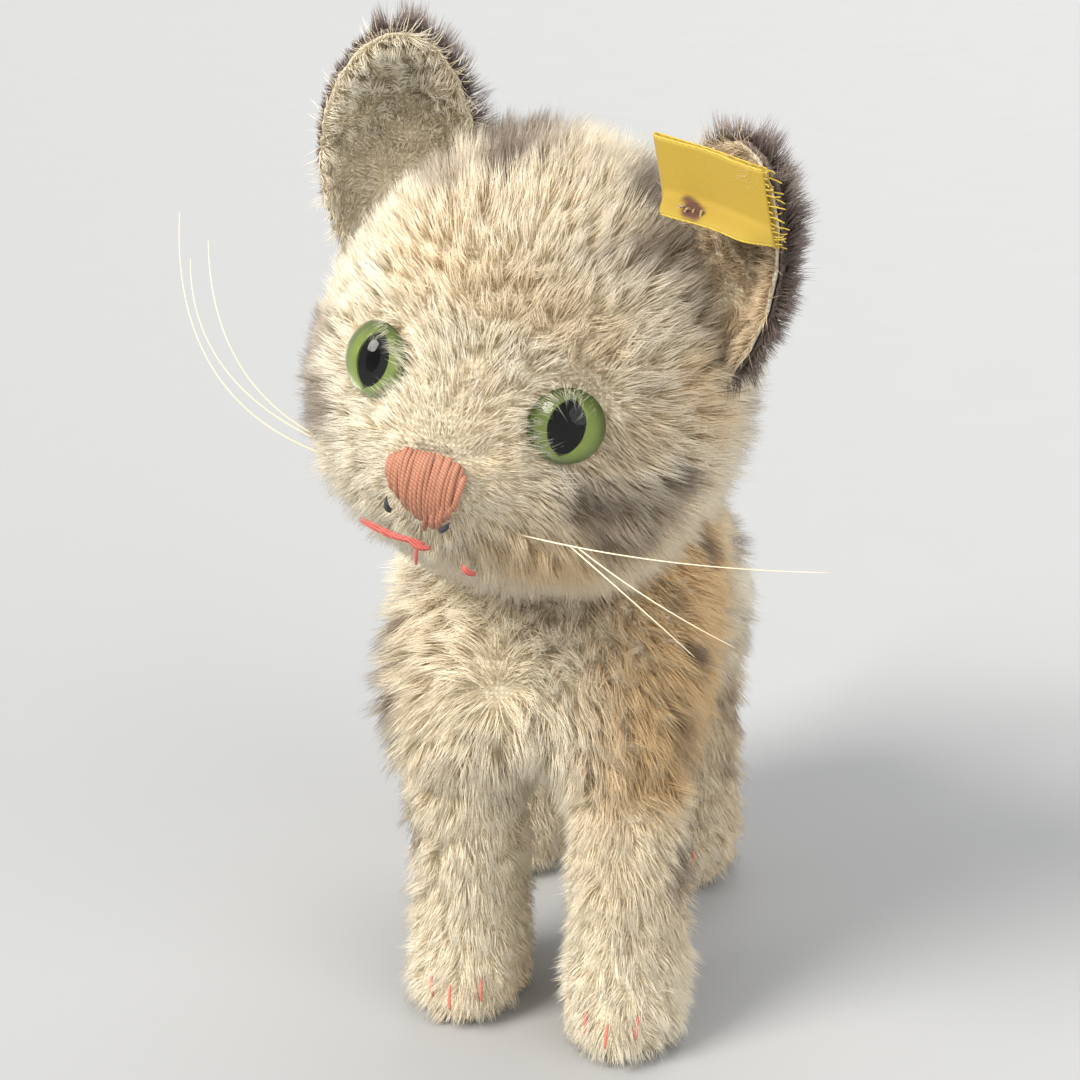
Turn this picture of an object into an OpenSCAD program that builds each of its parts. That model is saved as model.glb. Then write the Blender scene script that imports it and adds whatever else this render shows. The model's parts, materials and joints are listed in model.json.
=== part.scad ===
/* [Body] */
// Width of the chest and shoulders, over the cloth
chest_w = 53; // [42:1:66]
// Width over the haunches
haunch_w = 52; // [42:1:62]
// How far the rump reaches behind the neck joint
body_l = 62; // [50:1:76]
// Height of the chest's middle above the ground
chest_z = 70; // [62:1:82]

/* [Head] */
// Width of the head, over the cloth
head_w = 67; // [54:1:82]
// Depth of the head from forehead to nape
head_d = 63; // [51:1:77]
// Height of the head from crown to chin
head_h = 72; // [59:1:88]
// How far the muzzle stands out of the head
muzzle_out = 7.5; // [4:0.5:10]
// How far the head is turned on its neck, in degrees
head_turn = -17; // [-180:1:180]

/* [Neck joint] */
// Height of the neck joint's centre above the ground
neck_z = 104; // [98:1:112]
// Forward tilt of the neck pin from upright
neck_tilt = 57; // [45:1:65]
// Radius of the gathered neck openings
neck_r = 15; // [13:0.5:18]
// Radius of the hardboard neck discs
disc_r = 12.5; // [10:0.5:14]
// Thickness of each hardboard disc
disc_t = 2.5; // [1.5:0.1:3]
// Diameter of the steel split pin
pin_d = 2; // [1.2:0.1:2.8]

/* [Legs] */
// Radius of a leg above its paw
leg_r = 9.5; // [8:0.5:11]
// Length of a paw from heel to toe
paw_l = 25; // [21:1:29]
// Distance of the front paws from the middle
front_leg_x = 14; // [12:0.5:16]
// How far the left front paw stands ahead of the right one
paw_step = 7; // [0:0.5:9]
// Distance of the hind paws from the middle
hind_leg_x = 16.5; // [13:0.5:18]
// How far the hind legs stand behind the neck joint
hind_leg_y = 39; // [31:1:47]

/* [Tail] */
// Length of the tail
tail_l = 44; // [30:1:60]
// Radius of the tail
tail_r = 5; // [4:0.25:6.5]

/* [Ears] */
// Height of an ear above the head
ear_h = 29; // [22:1:36]
// Depth of the ear's hollow
ear_cup = 4.5; // [0:0.5:7]

/* [Eyes] */
// Diameter of a glass eye
eye_d = 12; // [9:0.5:14]
// Distance of the left eye's middle from the face's middle
eye_x = 15.3; // [12:0.1:18]
// How much nearer the middle the right eye is sewn
eye_offset = 2.6; // [0:0.1:4]

/* [Whiskers] */
// Diameter of a whisker
whisker_d = 0.4; // [0.25:0.05:0.6]

/* [Cloth] */
// Thickness of the woven cloth under the pile
cloth_t = 1.2; // [0.8:0.1:1.8]
// Thickness of the ear lining and of the ribbon's fold
thin_cloth_t = 1; // [0.6:0.1:1.4]
// Thickness of the embroidery thread
thread_d = 1.1; // [0.7:0.1:1.5]

/* [Hidden] */

// clearances
seam_gap = 0.2;      // between pieces that are sewn against each other
pack_gap = 0.8;      // between the stuffing and its cloth
turn_gap = 1.2;      // between the two neck openings, and between head and body
pin_clearance = 0.05; // all round the pin in its washers and discs

// neck joint: the pin's direction, its place, and the head's middle on that line
neck_axis = [0, -sin(neck_tilt), cos(neck_tilt)];
neck_front = [0, -cos(neck_tilt), -sin(neck_tilt)];
neck_y = -7.2;       // with this the origin lies under the middle of the whole cat
neck_pos = [0, neck_y, neck_z];
head_reach = (head_d + head_h) / 4 + 1;
head_mid = neck_pos + head_reach * neck_axis;
sweep_r = max(norm([head_reach, neck_r]), head_w / 2 + 2, head_h / 2) + turn_gap + 1;

// stack of pieces on the pin, measured from the joint plane outwards
gather_s = turn_gap / 2;
disc_s = gather_s + cloth_t;
washer_t = 0.8;
washer_r = 6;
washer_s = disc_s + disc_t;
stack_s = washer_s + washer_t;
pin_room = 8;        // depth kept free in the stuffing for the pin's ends
gather_r = (neck_r - cloth_t) * 0.96;

// body
body_mid = [0, neck_y + 7, chest_z];
shoulder_x = chest_w / 2 - 12.5;
haunch_x = haunch_w / 2 - 13.5;

// paws and legs
joint_gap = 0.9;     // a leg's or the tail's cover against the body's cover
front_leg_y = neck_y - 21;
claw_d = 1.4;
end_room = 0.6;      // more room over the body's curve at the ends of the limbs' stuffing

// head: places relative to its middle
nose_dir = [0, -38, -11];
left_eye = [eye_x, -26.6, 2.7];
right_eye = [eye_x - eye_offset, -26.6 - eye_offset / 2, 2.7];  // mirrored to its own side
ear_inner = [17, -2, 33];
ear_outer = [35, -7, 9];
ear_rise_inner = [9, -17.5, 38] / 29 * ear_h;  // how the rim leaves the ear's inner end
ear_rise_outer = [17, -14, 26] / 29 * ear_h;   // and its outer end

// ---------- functions ----------

function unit(v) = v / norm(v);
function mix(a, b, w) = a * (1 - w) + b * w;
function smooth(a, b, x) = let (t = min(max((x - a) / (b - a), 0), 1)) t * t * (3 - 2 * t);

// distance to an ellipsoid, and a rounded union of two distances
function ellipsoid_d(p, c, r) =
    let (q = p - c, k0 = norm([q.x / r.x, q.y / r.y, q.z / r.z]),
        k1 = norm([q.x / (r.x * r.x), q.y / (r.y * r.y), q.z / (r.z * r.z)]))
    k0 * (k0 - 1) / max(k1, 0.0001);
function blend_d(a, b, k) = let (h = max(k - abs(a - b), 0) / k) min(a, b) - h * h * k / 4;

// the stuffed body without its legs: chest, shoulders, rump, haunches and nape
function body_d(p) =
    let (m = [abs(p.x), p.y, p.z],
        chest = ellipsoid_d(m, [0, neck_y - 8, chest_z + 5], [chest_w / 2, 27, 30]),
        shoulder = ellipsoid_d(m, [shoulder_x, neck_y - 18, chest_z - 10], [12.5, 15, 22]),
        rump = ellipsoid_d(m, [0, neck_y + body_l - 33, chest_z - 8], [haunch_w / 2 - 3, 34, 24]),
        haunch = ellipsoid_d(m, [haunch_x, neck_y + hind_leg_y, chest_z - 15], [13.5, 19, 19]),
        nape = ellipsoid_d(m, [0, neck_y + 8, neck_z - 18], [22, 18, 24]),
        front = blend_d(blend_d(chest, shoulder, 8), nape, 14),
        whole = blend_d(front, blend_d(rump, haunch, 8), 16))
    max(whole, sweep_r - norm(p - head_mid));

// distance from the body's middle to its surface, found by halving
function body_r(d, near = 4, far = 95, steps = 14) =
    steps == 0 ? (near + far) / 2
    : let (r = (near + far) / 2)
        body_d(body_mid + r * d) < 0 ? body_r(d, r, far, steps - 1) : body_r(d, near, r, steps - 1);

// a direction on rings that run from angle a0 to angle a1 in the middle plane, th along and ph around
function ring_dir(th, ph, a0, a1) =
    let (m = a0 + (a1 - a0) * th / 180, along = [0, -cos(m), sin(m)], up = [0, sin(m), cos(m)])
    cos(th) * along + sin(th) * (cos(ph) * [1, 0, 0] + sin(ph) * up);

// body surface from the rump, th = 0, to the neck opening, th = body_end, inset by depth
body_end = 150;
body_fade = 112;
function body_pt(th, ph, depth) =
    let (d = ring_dir(th, ph, 175, 262.5), w = smooth(body_fade, body_end, th),
        skin = body_mid + (body_r(d) - depth) * d,
        opening = neck_pos - gather_s * neck_axis + (neck_r - depth) * (cos(ph) * [1, 0, 0] + sin(ph) * neck_front))
    mix(skin, opening, w);

// where the line from the body's middle through p leaves the body, for the open end of a leg or tail
function on_body(p, depth) =
    let (d = unit(p - body_mid)) body_mid + (body_r(d) + joint_gap + max(depth - cloth_t, 0)) * d;

// head surface: an egg with muzzle, cheeks and brow, widening into the neck opening
function bump(d, at, sharp) = exp(sharp * (d * unit(at) - 1));
function head_r(d) =
    let (egg = 1 / norm([2 * d.x / head_w, 2 * d.y / head_d, 2 * d.z / head_h]),
        muzzle = muzzle_out * bump(d, nose_dir, 14),
        cheeks = 2.2 * (bump(d, [30, -20, -16], 9) + bump(d, [-30, -20, -16], 9)),
        brow = 1.2 * bump(d, [0, -26, 22], 9))
    egg + muzzle + cheeks + brow;
function head_on(p, lift) = let (d = unit(p)) head_mid + (head_r(d) + lift) * d;
head_end = 180 - atan2(neck_r, head_reach);
head_fade = 128;
function head_pt(th, ph, depth) =
    let (d = ring_dir(th, ph, -14, 90 - neck_tilt), w = smooth(head_fade, head_end, th),
        opening = neck_pos + gather_s * neck_axis + (neck_r - depth) * (cos(ph) * [1, 0, 0] - sin(ph) * neck_front))
    mix(head_mid + (head_r(d) - depth) * d, opening, w);

// legs: t runs from the sole, 0, to the body, 1; ph is 0 at the left and 90 in front
leg_heights = [[0, 0], [0.12, 1.4], [0.24, 4.5], [0.4, 9.5], [0.56, 15], [0.7, 22], [0.85, 30], [1, 46]];
leg_widths = [[0, 0.78], [0.12, 0.97], [0.24, 1.08], [0.4, 1.08], [0.56, 1.01], [0.7, 0.98], [1, 1]];
function leg_front(t) = lookup(t, [[0, 0.72], [0.12, 0.93], [0.24, 1], [0.4, 0.93], [0.56, 0.75], [0.7, 0.64], [1, 0.62]]);
function leg_back(t) = lookup(t, [[0, 0.8], [0.12, 0.98], [0.24, 1.06], [0.56, 1], [1, 1.04]]);
function leg_pt(foot, t, ph, depth) =
    let (z = max(lookup(t, leg_heights), depth + 3 * t),
        rx = leg_r * lookup(t, leg_widths) - depth,
        front = (paw_l - leg_r) * leg_front(t) - depth,
        back = leg_r * leg_back(t) - depth,
        p = foot + [rx * cos(ph), -sin(ph) * (sin(ph) > 0 ? front : back), z])
    t < 0.999 ? p : on_body(p, depth);
front_left = [front_leg_x + 2.5, front_leg_y - paw_step + 2, 0];
front_right = [-front_leg_x + 1, front_leg_y + 2, 0];
hind_left = [hind_leg_x, neck_y + hind_leg_y, 0];
hind_right = [-hind_leg_x, neck_y + hind_leg_y, 0];

// tail: rises from the rump along an arc, t from the body, 0, to the tip, 1
tail_rise = 30;
tail_bend = 45;
tail_dir = unit([0, 50, 8]);
tail_root = body_mid + body_r(tail_dir) * tail_dir;
function tail_pt(t, ph, depth) =
    let (a = tail_rise + tail_bend * t, arc = tail_l / (tail_bend * PI / 180),
        middle = tail_root + arc * [0, sin(a) - sin(tail_rise), cos(tail_rise) - cos(a)],
        r = tail_r * (1.15 - 0.3 * t) * sqrt(1 - 0.97 * pow(t, 9)) - depth,
        p = middle + r * (cos(ph) * [1, 0, 0] - sin(ph) * [0, -sin(a), cos(a)]))
    t > 0.001 ? p : on_body(p, depth);

// ears: u runs along the sewn edge from -1 to 1, v from that edge, 0, to the rim, 1
ear_span = 0.97;
function ear_edge(t) =
    head_on(mix(ear_inner, ear_outer, t) + 24 * t * (1 - t) * unit([27, -5, 21]), seam_gap + thin_cloth_t / 2);
function ear_rim(t) =
    let (a = ear_edge(0), b = ear_edge(1), s = 1 - t)
    s * s * s * a + 3 * s * s * t * (a + ear_rise_inner) + 3 * s * t * t * (b + ear_rise_outer) + t * t * t * b;
ear_face = unit(cross(ear_outer - ear_inner, ear_rise_inner));
function ear_pt(u, v, lift) =
    let (t = (u * ear_span + 1) / 2)
    mix(ear_edge(t), ear_rim(t), v) + ear_face * (lift - ear_cup * 4 * v * (1 - v) * (1 - u * u));

// ---------- solids from grids of points ----------

// a sheet with thickness: two grids of the same size, joined round their edges
module slab(outer, inner) {
    rows = len(outer);
    cols = len(outer[0]);
    n = rows * cols;
    function at(s, i, j) = s * n + i * cols + j;
    function quad(a, b, c, d) = [[a, b, c], [a, c, d]];
    polyhedron(
        points = [for (sheet = [outer, inner]) for (row = sheet) for (p = row) p],
        faces = [
            for (i = [0:rows - 2]) for (j = [0:cols - 2])
                each quad(at(0, i, j), at(0, i, j + 1), at(0, i + 1, j + 1), at(0, i + 1, j)),
            for (i = [0:rows - 2]) for (j = [0:cols - 2])
                each quad(at(1, i, j), at(1, i + 1, j), at(1, i + 1, j + 1), at(1, i, j + 1)),
            for (i = [0:rows - 2])
                each quad(at(0, i, 0), at(0, i + 1, 0), at(1, i + 1, 0), at(1, i, 0)),
            for (i = [0:rows - 2])
                each quad(at(0, i + 1, cols - 1), at(0, i, cols - 1), at(1, i, cols - 1), at(1, i + 1, cols - 1)),
            for (j = [0:cols - 2])
                each quad(at(0, 0, j + 1), at(0, 0, j), at(1, 0, j), at(1, 0, j + 1)),
            for (j = [0:cols - 2])
                each quad(at(0, rows - 1, j), at(0, rows - 1, j + 1), at(1, rows - 1, j + 1), at(1, rows - 1, j))
        ]);
}

// a closed solid of rings, with a point at each end
module plug(rings, start, end) {
    rows = len(rings);
    cols = len(rings[0]);
    function at(i, j) = 2 + i * cols + j % cols;
    polyhedron(
        points = concat([start, end], [for (ring = rings) each ring]),
        faces = [
            for (j = [0:cols - 1]) [0, at(0, j + 1), at(0, j)],
            for (j = [0:cols - 1]) [1, at(rows - 1, j), at(rows - 1, j + 1)],
            for (i = [0:rows - 2]) for (j = [0:cols - 1])
                each [[at(i, j), at(i, j + 1), at(i + 1, j + 1)], [at(i, j), at(i + 1, j + 1), at(i + 1, j)]]
        ]);
}

// a hollow cover of rings, closed at its start and open at its end
module sleeve(outer, inner, outer_start, inner_start) {
    rows = len(outer);
    cols = len(outer[0]);
    n = rows * cols;
    function at(s, i, j) = 2 + s * n + i * cols + j % cols;
    polyhedron(
        points = concat([outer_start, inner_start], [for (sheet = [outer, inner]) for (ring = sheet) each ring]),
        faces = [
            for (j = [0:cols - 1]) [0, at(0, 0, j + 1), at(0, 0, j)],
            for (j = [0:cols - 1]) [1, at(1, 0, j), at(1, 0, j + 1)],
            for (i = [0:rows - 2]) for (j = [0:cols - 1])
                each [[at(0, i, j), at(0, i, j + 1), at(0, i + 1, j + 1)],
                    [at(0, i, j), at(0, i + 1, j + 1), at(0, i + 1, j)]],
            for (i = [0:rows - 2]) for (j = [0:cols - 1])
                each [[at(1, i, j), at(1, i + 1, j + 1), at(1, i, j + 1)],
                    [at(1, i, j), at(1, i + 1, j), at(1, i + 1, j + 1)]],
            for (j = [0:cols - 1])
                each [[at(0, rows - 1, j), at(0, rows - 1, j + 1), at(1, rows - 1, j + 1)],
                    [at(0, rows - 1, j), at(1, rows - 1, j + 1), at(1, rows - 1, j)]]
        ]);
}

// a round rod with round ends from one point to another
module rod(a, b, d) {
    v = b - a;
    translate(a)
        rotate([0, acos(v.z / norm(v)), atan2(v.y, v.x)])
            rotate_extrude($fn = 24)
                union() {
                    square([d / 2, norm(v)]);
                    intersection() {
                        union() {
                            circle(d / 2, $fn = 24);
                            translate([0, norm(v)]) circle(d / 2, $fn = 24);
                        }
                        translate([0, -d]) square([d, norm(v) + 2 * d]);
                    }
                }
}

// places children on the pin's line, s from the joint plane, their +Z along the pin
module on_neck(s) {
    translate(neck_pos + s * neck_axis) rotate([neck_tilt, 0, 0]) children();
}

// turns the head's pieces on the neck pin
module posed_head() {
    translate(neck_pos) rotate(a = head_turn, v = neck_axis) translate(-neck_pos) children();
}

// ---------- body ----------

cream = "#e6dcc2";
taupe = "#8b7a6c";

// half the angle that the belly gusset spans: wide between the legs, narrow at both ends
function gusset_half(th) = 3 + 27 * pow(sin(th * 180 / body_end), 2);
body_rings = [5, 12, 20, 29, 38, 47, 56, 65, 74, 83, 92, 101, 110, 119, 128, 136, 143, body_end];
module body_panel(from, to, steps) {
    function grid(depth) = [for (th = body_rings)
        [for (k = [0:steps]) body_pt(th, mix(from(th), to(th), k / steps), depth)]];
    slab(grid(0), grid(cloth_t));
}

module body_side_left() {
    color(cream) body_panel(function(th) -90, function(th) 90 - gusset_half(th), 14);
}

module body_side_right() {
    color(cream) body_panel(function(th) 90 + gusset_half(th), function(th) 270, 14);
}

module belly_gusset() {
    color(cream) body_panel(function(th) 90 - gusset_half(th), function(th) 90 + gusset_half(th), 4);
}

// a ring round the neck pin, s from the joint plane and turned like the panels' rings
function neck_ring(s, r, way) = [for (ph = [0:15:345])
    neck_pos + s * neck_axis + r * (cos(ph) * [1, 0, 0] + sin(ph) * way * neck_front)];

module body_stuffing() {
    depth = cloth_t + pack_gap;
    rings = [for (th = [for (r = body_rings) if (r < body_end - 15) r]) [for (ph = [0:15:345]) body_pt(th, ph, depth)]];
    color("#c9a86a")
        plug(concat(rings, [neck_ring(-stack_s - 0.4, gather_r - 1.2, 1)]),
            body_pt(0, 0, depth), neck_pos - (stack_s + pin_room) * neck_axis);
}

// ---------- legs and tail ----------

leg_steps = [0, 0.12, 0.24, 0.4, 0.56, 0.7, 0.85, 1];
function leg_rings(foot, depth) = [for (t = leg_steps) [for (ph = [0:22.5:337.5]) leg_pt(foot, t, ph, depth)]];

module leg_cover(foot) {
    color(cream) sleeve(leg_rings(foot, 0), leg_rings(foot, cloth_t), foot, foot + [0, 0, cloth_t]);
}

// rings that close an open end over the body's curve, from rim to middle
function end_rings(rim, middle, depth) = [for (f = [0.72, 0.4]) [for (p = rim) on_body(mix(middle, p, f), depth + end_room)]];

module leg_stuffing(foot) {
    depth = cloth_t + pack_gap;
    rings = leg_rings(foot, depth);
    rim = rings[len(rings) - 1];
    middle = (rim[0] + rim[8]) / 2;
    color("#c9a86a")
        plug(concat(rings, end_rings(rim, middle, depth)), foot + [0, 0, depth], on_body(middle, depth + end_room));
}

// three short stitches over the toes
module claws(foot) {
    lift = -claw_d / 2 - 0.2;
    color("#d98a78")
        for (ph = [66, 90, 114])
            rod(leg_pt(foot, 0.26, ph, lift), leg_pt(foot, 0.42, ph, lift), claw_d);
}

module front_leg_left_cover() { leg_cover(front_left); }
module front_leg_right_cover() { leg_cover(front_right); }
module hind_leg_left_cover() { leg_cover(hind_left); }
module hind_leg_right_cover() { leg_cover(hind_right); }
module front_leg_left_stuffing() { leg_stuffing(front_left); }
module front_leg_right_stuffing() { leg_stuffing(front_right); }
module hind_leg_left_stuffing() { leg_stuffing(hind_left); }
module hind_leg_right_stuffing() { leg_stuffing(hind_right); }
module front_left_claws() { claws(front_left); }
module front_right_claws() { claws(front_right); }
module hind_left_claws() { claws(hind_left); }
module hind_right_claws() { claws(hind_right); }

tail_steps = [1, 0.94, 0.8, 0.6, 0.4, 0.2, 0];
function tail_rings(depth, from = 0) = [for (k = [from:len(tail_steps) - 1])
    [for (ph = [0:30:330]) tail_pt(tail_steps[k], ph, depth)]];
function tail_end(depth) = let (ring = tail_rings(depth)[0]) (ring[0] + ring[6]) / 2;

module tail_cover() {
    color(taupe) sleeve(tail_rings(0, 1), tail_rings(cloth_t, 1), tail_end(0), tail_end(0) - cloth_t * [0, 0.3, 0.95]);
}

module tail_stuffing() {
    depth = cloth_t + pack_gap;
    rings = tail_rings(depth, 1);
    rim = rings[len(rings) - 1];
    middle = (rim[0] + rim[6]) / 2;
    color("#c9a86a")
        plug(concat(rings, end_rings(rim, middle, depth)), tail_end(0) - depth * [0, 0.3, 0.95],
            on_body(middle, depth + end_room));
}

// ---------- neck joint ----------

pin_hole_r = pin_d / 2 + pin_clearance;
thread_r = 0.45;
groove_r = thread_r + 0.05;
thread_ring_r = 4;

// cloth drawn in round the pin, with a groove for its thread on the inner face
module neck_gather() {
    difference() {
        cylinder(h = cloth_t, r = gather_r, $fn = 96);
        translate([0, 0, -1]) cylinder(h = cloth_t + 2, r = pin_hole_r + 0.3, $fn = 48);
        translate([0, 0, cloth_t - groove_r]) rotate_extrude($fn = 64) {
            translate([thread_ring_r, 0]) circle(groove_r, $fn = 24);
            translate([thread_ring_r - groove_r, 0]) square([2 * groove_r, 1]);
        }
    }
}

module gather_thread() {
    translate([0, 0, cloth_t - groove_r])
        rotate_extrude($fn = 64)
            translate([thread_ring_r, 0]) circle(thread_r, $fn = 24);
}

module round_plate(h, r) {
    difference() {
        cylinder(h = h, r = r, $fn = 96);
        translate([0, 0, -1]) cylinder(h = h + 2, r = pin_hole_r, $fn = 48);
    }
}

module body_neck_gather() { color(cream) on_neck(-gather_s) mirror([0, 0, 1]) neck_gather(); }
module body_gather_thread() { color("#efe9d8") on_neck(-gather_s) mirror([0, 0, 1]) gather_thread(); }
module body_neck_disc() { color("#9a7b55") on_neck(-disc_s) mirror([0, 0, 1]) round_plate(disc_t, disc_r); }
module body_neck_washer() { color("silver") on_neck(-washer_s) mirror([0, 0, 1]) round_plate(washer_t, washer_r); }
module head_neck_gather() { color(cream) posed_head() on_neck(gather_s) neck_gather(); }
module head_gather_thread() { color("#efe9d8") posed_head() on_neck(gather_s) gather_thread(); }
module head_neck_disc() { color("#9a7b55") posed_head() on_neck(disc_s) round_plate(disc_t, disc_r); }
module head_neck_washer() { color("silver") posed_head() on_neck(washer_s) round_plate(washer_t, washer_r); }

// a split pin: a round eye over the head's washer, and two ends rolled out under the body's washer
module neck_pin() {
    eye_r = pin_d;
    wire_r = pin_d / 4;
    roll_r = 1.6;
    roll_s = -stack_s - 1.5;
    color("silver") {
        on_neck(roll_s) cylinder(h = stack_s + 0.4 - roll_s, r = pin_d / 2, $fn = 48);
        on_neck(stack_s + 0.05) cylinder(h = 0.5, r = pin_d, $fn = 48);
        on_neck(stack_s + 0.4 + eye_r) rotate([90, 0, 0])
            rotate_extrude($fn = 48) translate([eye_r - wire_r, 0]) circle(wire_r, $fn = 24);
        for (a = [0, 180])
            on_neck(roll_s) rotate([0, 0, a]) translate([roll_r, 0, 0]) rotate([90, 0, 0])
                rotate_extrude(angle = 210, start = 180, $fn = 48) translate([roll_r, 0]) circle(wire_r, $fn = 24);
    }
}

// ---------- head ----------

function crown_half(th) = 9 + 15 * sin(min(th, 150) * 1.2);
function chin_half(th) = 7 + 13 * sin(min(th, 150) * 1.2);
head_rings = [5, 12, 20, 28, 37, 47, 58, 70, 82, 94, 106, 118, 129, 139, 148, head_end];
module head_panel(from, to, steps) {
    function grid(depth) = [for (th = head_rings)
        [for (k = [0:steps]) head_pt(th, mix(from(th), to(th), k / steps), depth)]];
    slab(grid(0), grid(cloth_t));
}

module head_side_left() {
    color(cream) posed_head() head_panel(function(th) -90 + chin_half(th), function(th) 90 - crown_half(th), 10);
}

module head_side_right() {
    color(cream) posed_head() head_panel(function(th) 90 + crown_half(th), function(th) 270 - chin_half(th), 10);
}

module head_gusset() {
    color(cream) posed_head() head_panel(function(th) 90 - crown_half(th), function(th) 90 + crown_half(th), 4);
}

module chin_gusset() {
    color(cream) posed_head() head_panel(function(th) -90 - chin_half(th), function(th) -90 + chin_half(th), 4);
}

module head_stuffing() {
    depth = cloth_t + pack_gap;
    rings = [for (th = [for (r = head_rings) if (r < 140) r]) [for (ph = [0:15:345]) head_pt(th, ph, depth)]];
    color("#c9a86a") posed_head()
        plug(concat(rings, [neck_ring(stack_s + 0.4, gather_r - 1.2, -1)]),
            head_pt(0, 0, depth), neck_pos + (stack_s + pin_room) * neck_axis);
}

// ---------- ears ----------

ear_rows = 8;
ear_cols = 10;
function ear_grid(lift, way) = [for (i = [0:ear_rows])
    [for (j = [0:ear_cols]) ear_pt(way * (2 * j / ear_cols - 1), i / ear_rows, lift)]];

module ear_lining() { slab(ear_grid(thin_cloth_t + seam_gap, -1), ear_grid(seam_gap, -1)); }
module ear_back() { slab(ear_grid(-cloth_t, 1), ear_grid(0, 1)); }

module ear_left_back() { color(taupe) posed_head() ear_back(); }
module ear_left_lining() { color("#e2cfa6") posed_head() ear_lining(); }
module ear_right_back() { color(taupe) posed_head() mirror([1, 0, 0]) ear_back(); }
module ear_right_lining() { color("#e2cfa6") posed_head() mirror([1, 0, 0]) ear_lining(); }

// ---------- eyes ----------

function eye_axis(place) = unit(unit(place) + [0, -0.2, 0.05]);
eye_lift = 1.2;
iris_t = 0.5;
glass_gap = 0.02;    // between the paint and the glass
dome_h = eye_d * 0.29;
pupil_w = eye_d * 0.43;
pupil_h = eye_d * 0.7;
shank_d = 1;
loop_r = 1.8;
shank_l = 4;

// local +Z looks out of the eye and +Y is up
module at_eye(place) {
    axis = eye_axis(place);
    translate(head_on(place, eye_lift))
        rotate([0, 0, atan2(axis.x, -axis.y)])
            rotate([90 - asin(axis.z), 0, 0])
                children();
}

module at_left_eye() { posed_head() at_eye(left_eye) children(); }
module at_right_eye() { posed_head() mirror([1, 0, 0]) at_eye(right_eye) children(); }

// a lens outline between two arcs, grown all round
module pupil_outline(grow) {
    arc_r = (pupil_w * pupil_w + pupil_h * pupil_h) / (4 * pupil_w);
    intersection() {
        translate([pupil_w / 2 - arc_r, 0]) circle(arc_r + grow, $fn = 96);
        translate([arc_r - pupil_w / 2, 0]) circle(arc_r + grow, $fn = 96);
    }
}

module eye_glass() {
    dome_r = (eye_d * eye_d / 4 + dome_h * dome_h) / (2 * dome_h);
    translate([0, 0, iris_t + glass_gap])
        rotate_extrude($fn = 96)
            intersection() {
                translate([0, dome_h - dome_r]) circle(dome_r, $fn = 128);
                square([eye_d, dome_h + 1]);
            }
}

module eye_iris() {
    linear_extrude(iris_t) difference() {
        circle(eye_d / 2 - 0.2, $fn = 96);
        pupil_outline(0.05);
    }
}

// a wire stem with a loop, behind the eye
module eye_shank() {
    translate([0, 0, -shank_l]) cylinder(h = shank_l - 0.05, r = shank_d / 2, $fn = 32);
    translate([0, 0, -shank_l - loop_r + 0.2]) rotate([90, 0, 0])
        rotate_extrude($fn = 48) translate([loop_r, 0]) circle(shank_d / 2, $fn = 24);
}

module eye_left_glass() { color("#a9b79a", 0.5) at_left_eye() eye_glass(); }
module eye_right_glass() { color("#a9b79a", 0.5) at_right_eye() eye_glass(); }
module eye_left_iris() { color("#6f8f2c") at_left_eye() eye_iris(); }
module eye_right_iris() { color("#6f8f2c") at_right_eye() eye_iris(); }
module eye_left_pupil() { color("black") at_left_eye() linear_extrude(iris_t) pupil_outline(0); }
module eye_right_pupil() { color("black") at_right_eye() linear_extrude(iris_t) pupil_outline(0); }
module eye_left_shank() { color("silver") at_left_eye() eye_shank(); }
module eye_right_shank() { color("silver") at_right_eye() eye_shank(); }

// linen cords from the two loops to one knot at the back of the head
function shank_loop(place) = head_on(place, eye_lift) - (shank_l + loop_r) * eye_axis(place);
module eye_ties() {
    knot = head_mid + [0, head_d / 4, -2];
    right_loop = shank_loop(right_eye);
    color("#d8cfb4") posed_head() {
        rod(shank_loop(left_eye), knot, 1);
        rod([-right_loop.x, right_loop.y, right_loop.z], knot, 1);
        translate(knot) sphere(1.8, $fn = 32);
    }
}

// ---------- face ----------

nose_w = 12;
nose_l = 13;
nose_t = 1.2;
// half width of the nose from its top, 0, to its point, 1
function nose_half(t) = nose_w / 2 * lookup(t, [[0, 0.78], [0.15, 1], [0.45, 0.98], [0.8, 0.5], [1, 0.16]]);
function nose_pt(t, u, lift) = head_on(nose_dir + [u * nose_half(t), 0, nose_l * (0.42 - t)], lift);
module nose_embroidery() {
    function grid(lift) = [for (i = [0:8]) [for (j = [0:8]) nose_pt(i / 8, j / 4 - 1, lift)]];
    color("#d8876a") posed_head() slab(grid(nose_t), grid(0.1));
}

// rods laid on the head from place to place
module stitch(places, d) {
    for (k = [0:len(places) - 2])
        rod(head_on(places[k], d / 2 + 0.1), head_on(places[k + 1], d / 2 + 0.1), d);
}

mouth_top = nose_dir + [0, 0, -nose_l * 0.6 - 1.6];
module mouth_stitches() {
    color("#cf6f66") posed_head() {
        stitch([mouth_top, mouth_top + [0, 0, -2.2]], thread_d);
        for (s = [-1, 1])
            stitch([mouth_top + [s * 0.9, 0, -1], mouth_top + [s * 5, 1, -1.6], mouth_top + [s * 10, 3, -4]], thread_d);
    }
}

module nostril_stitches() {
    color("#2a2422") posed_head()
        for (s = [-1, 1])
            stitch([nose_dir + [s * 5, 0, -5.2], nose_dir + [s * 3.8, 0, -6.8]], thread_d);
}

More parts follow.
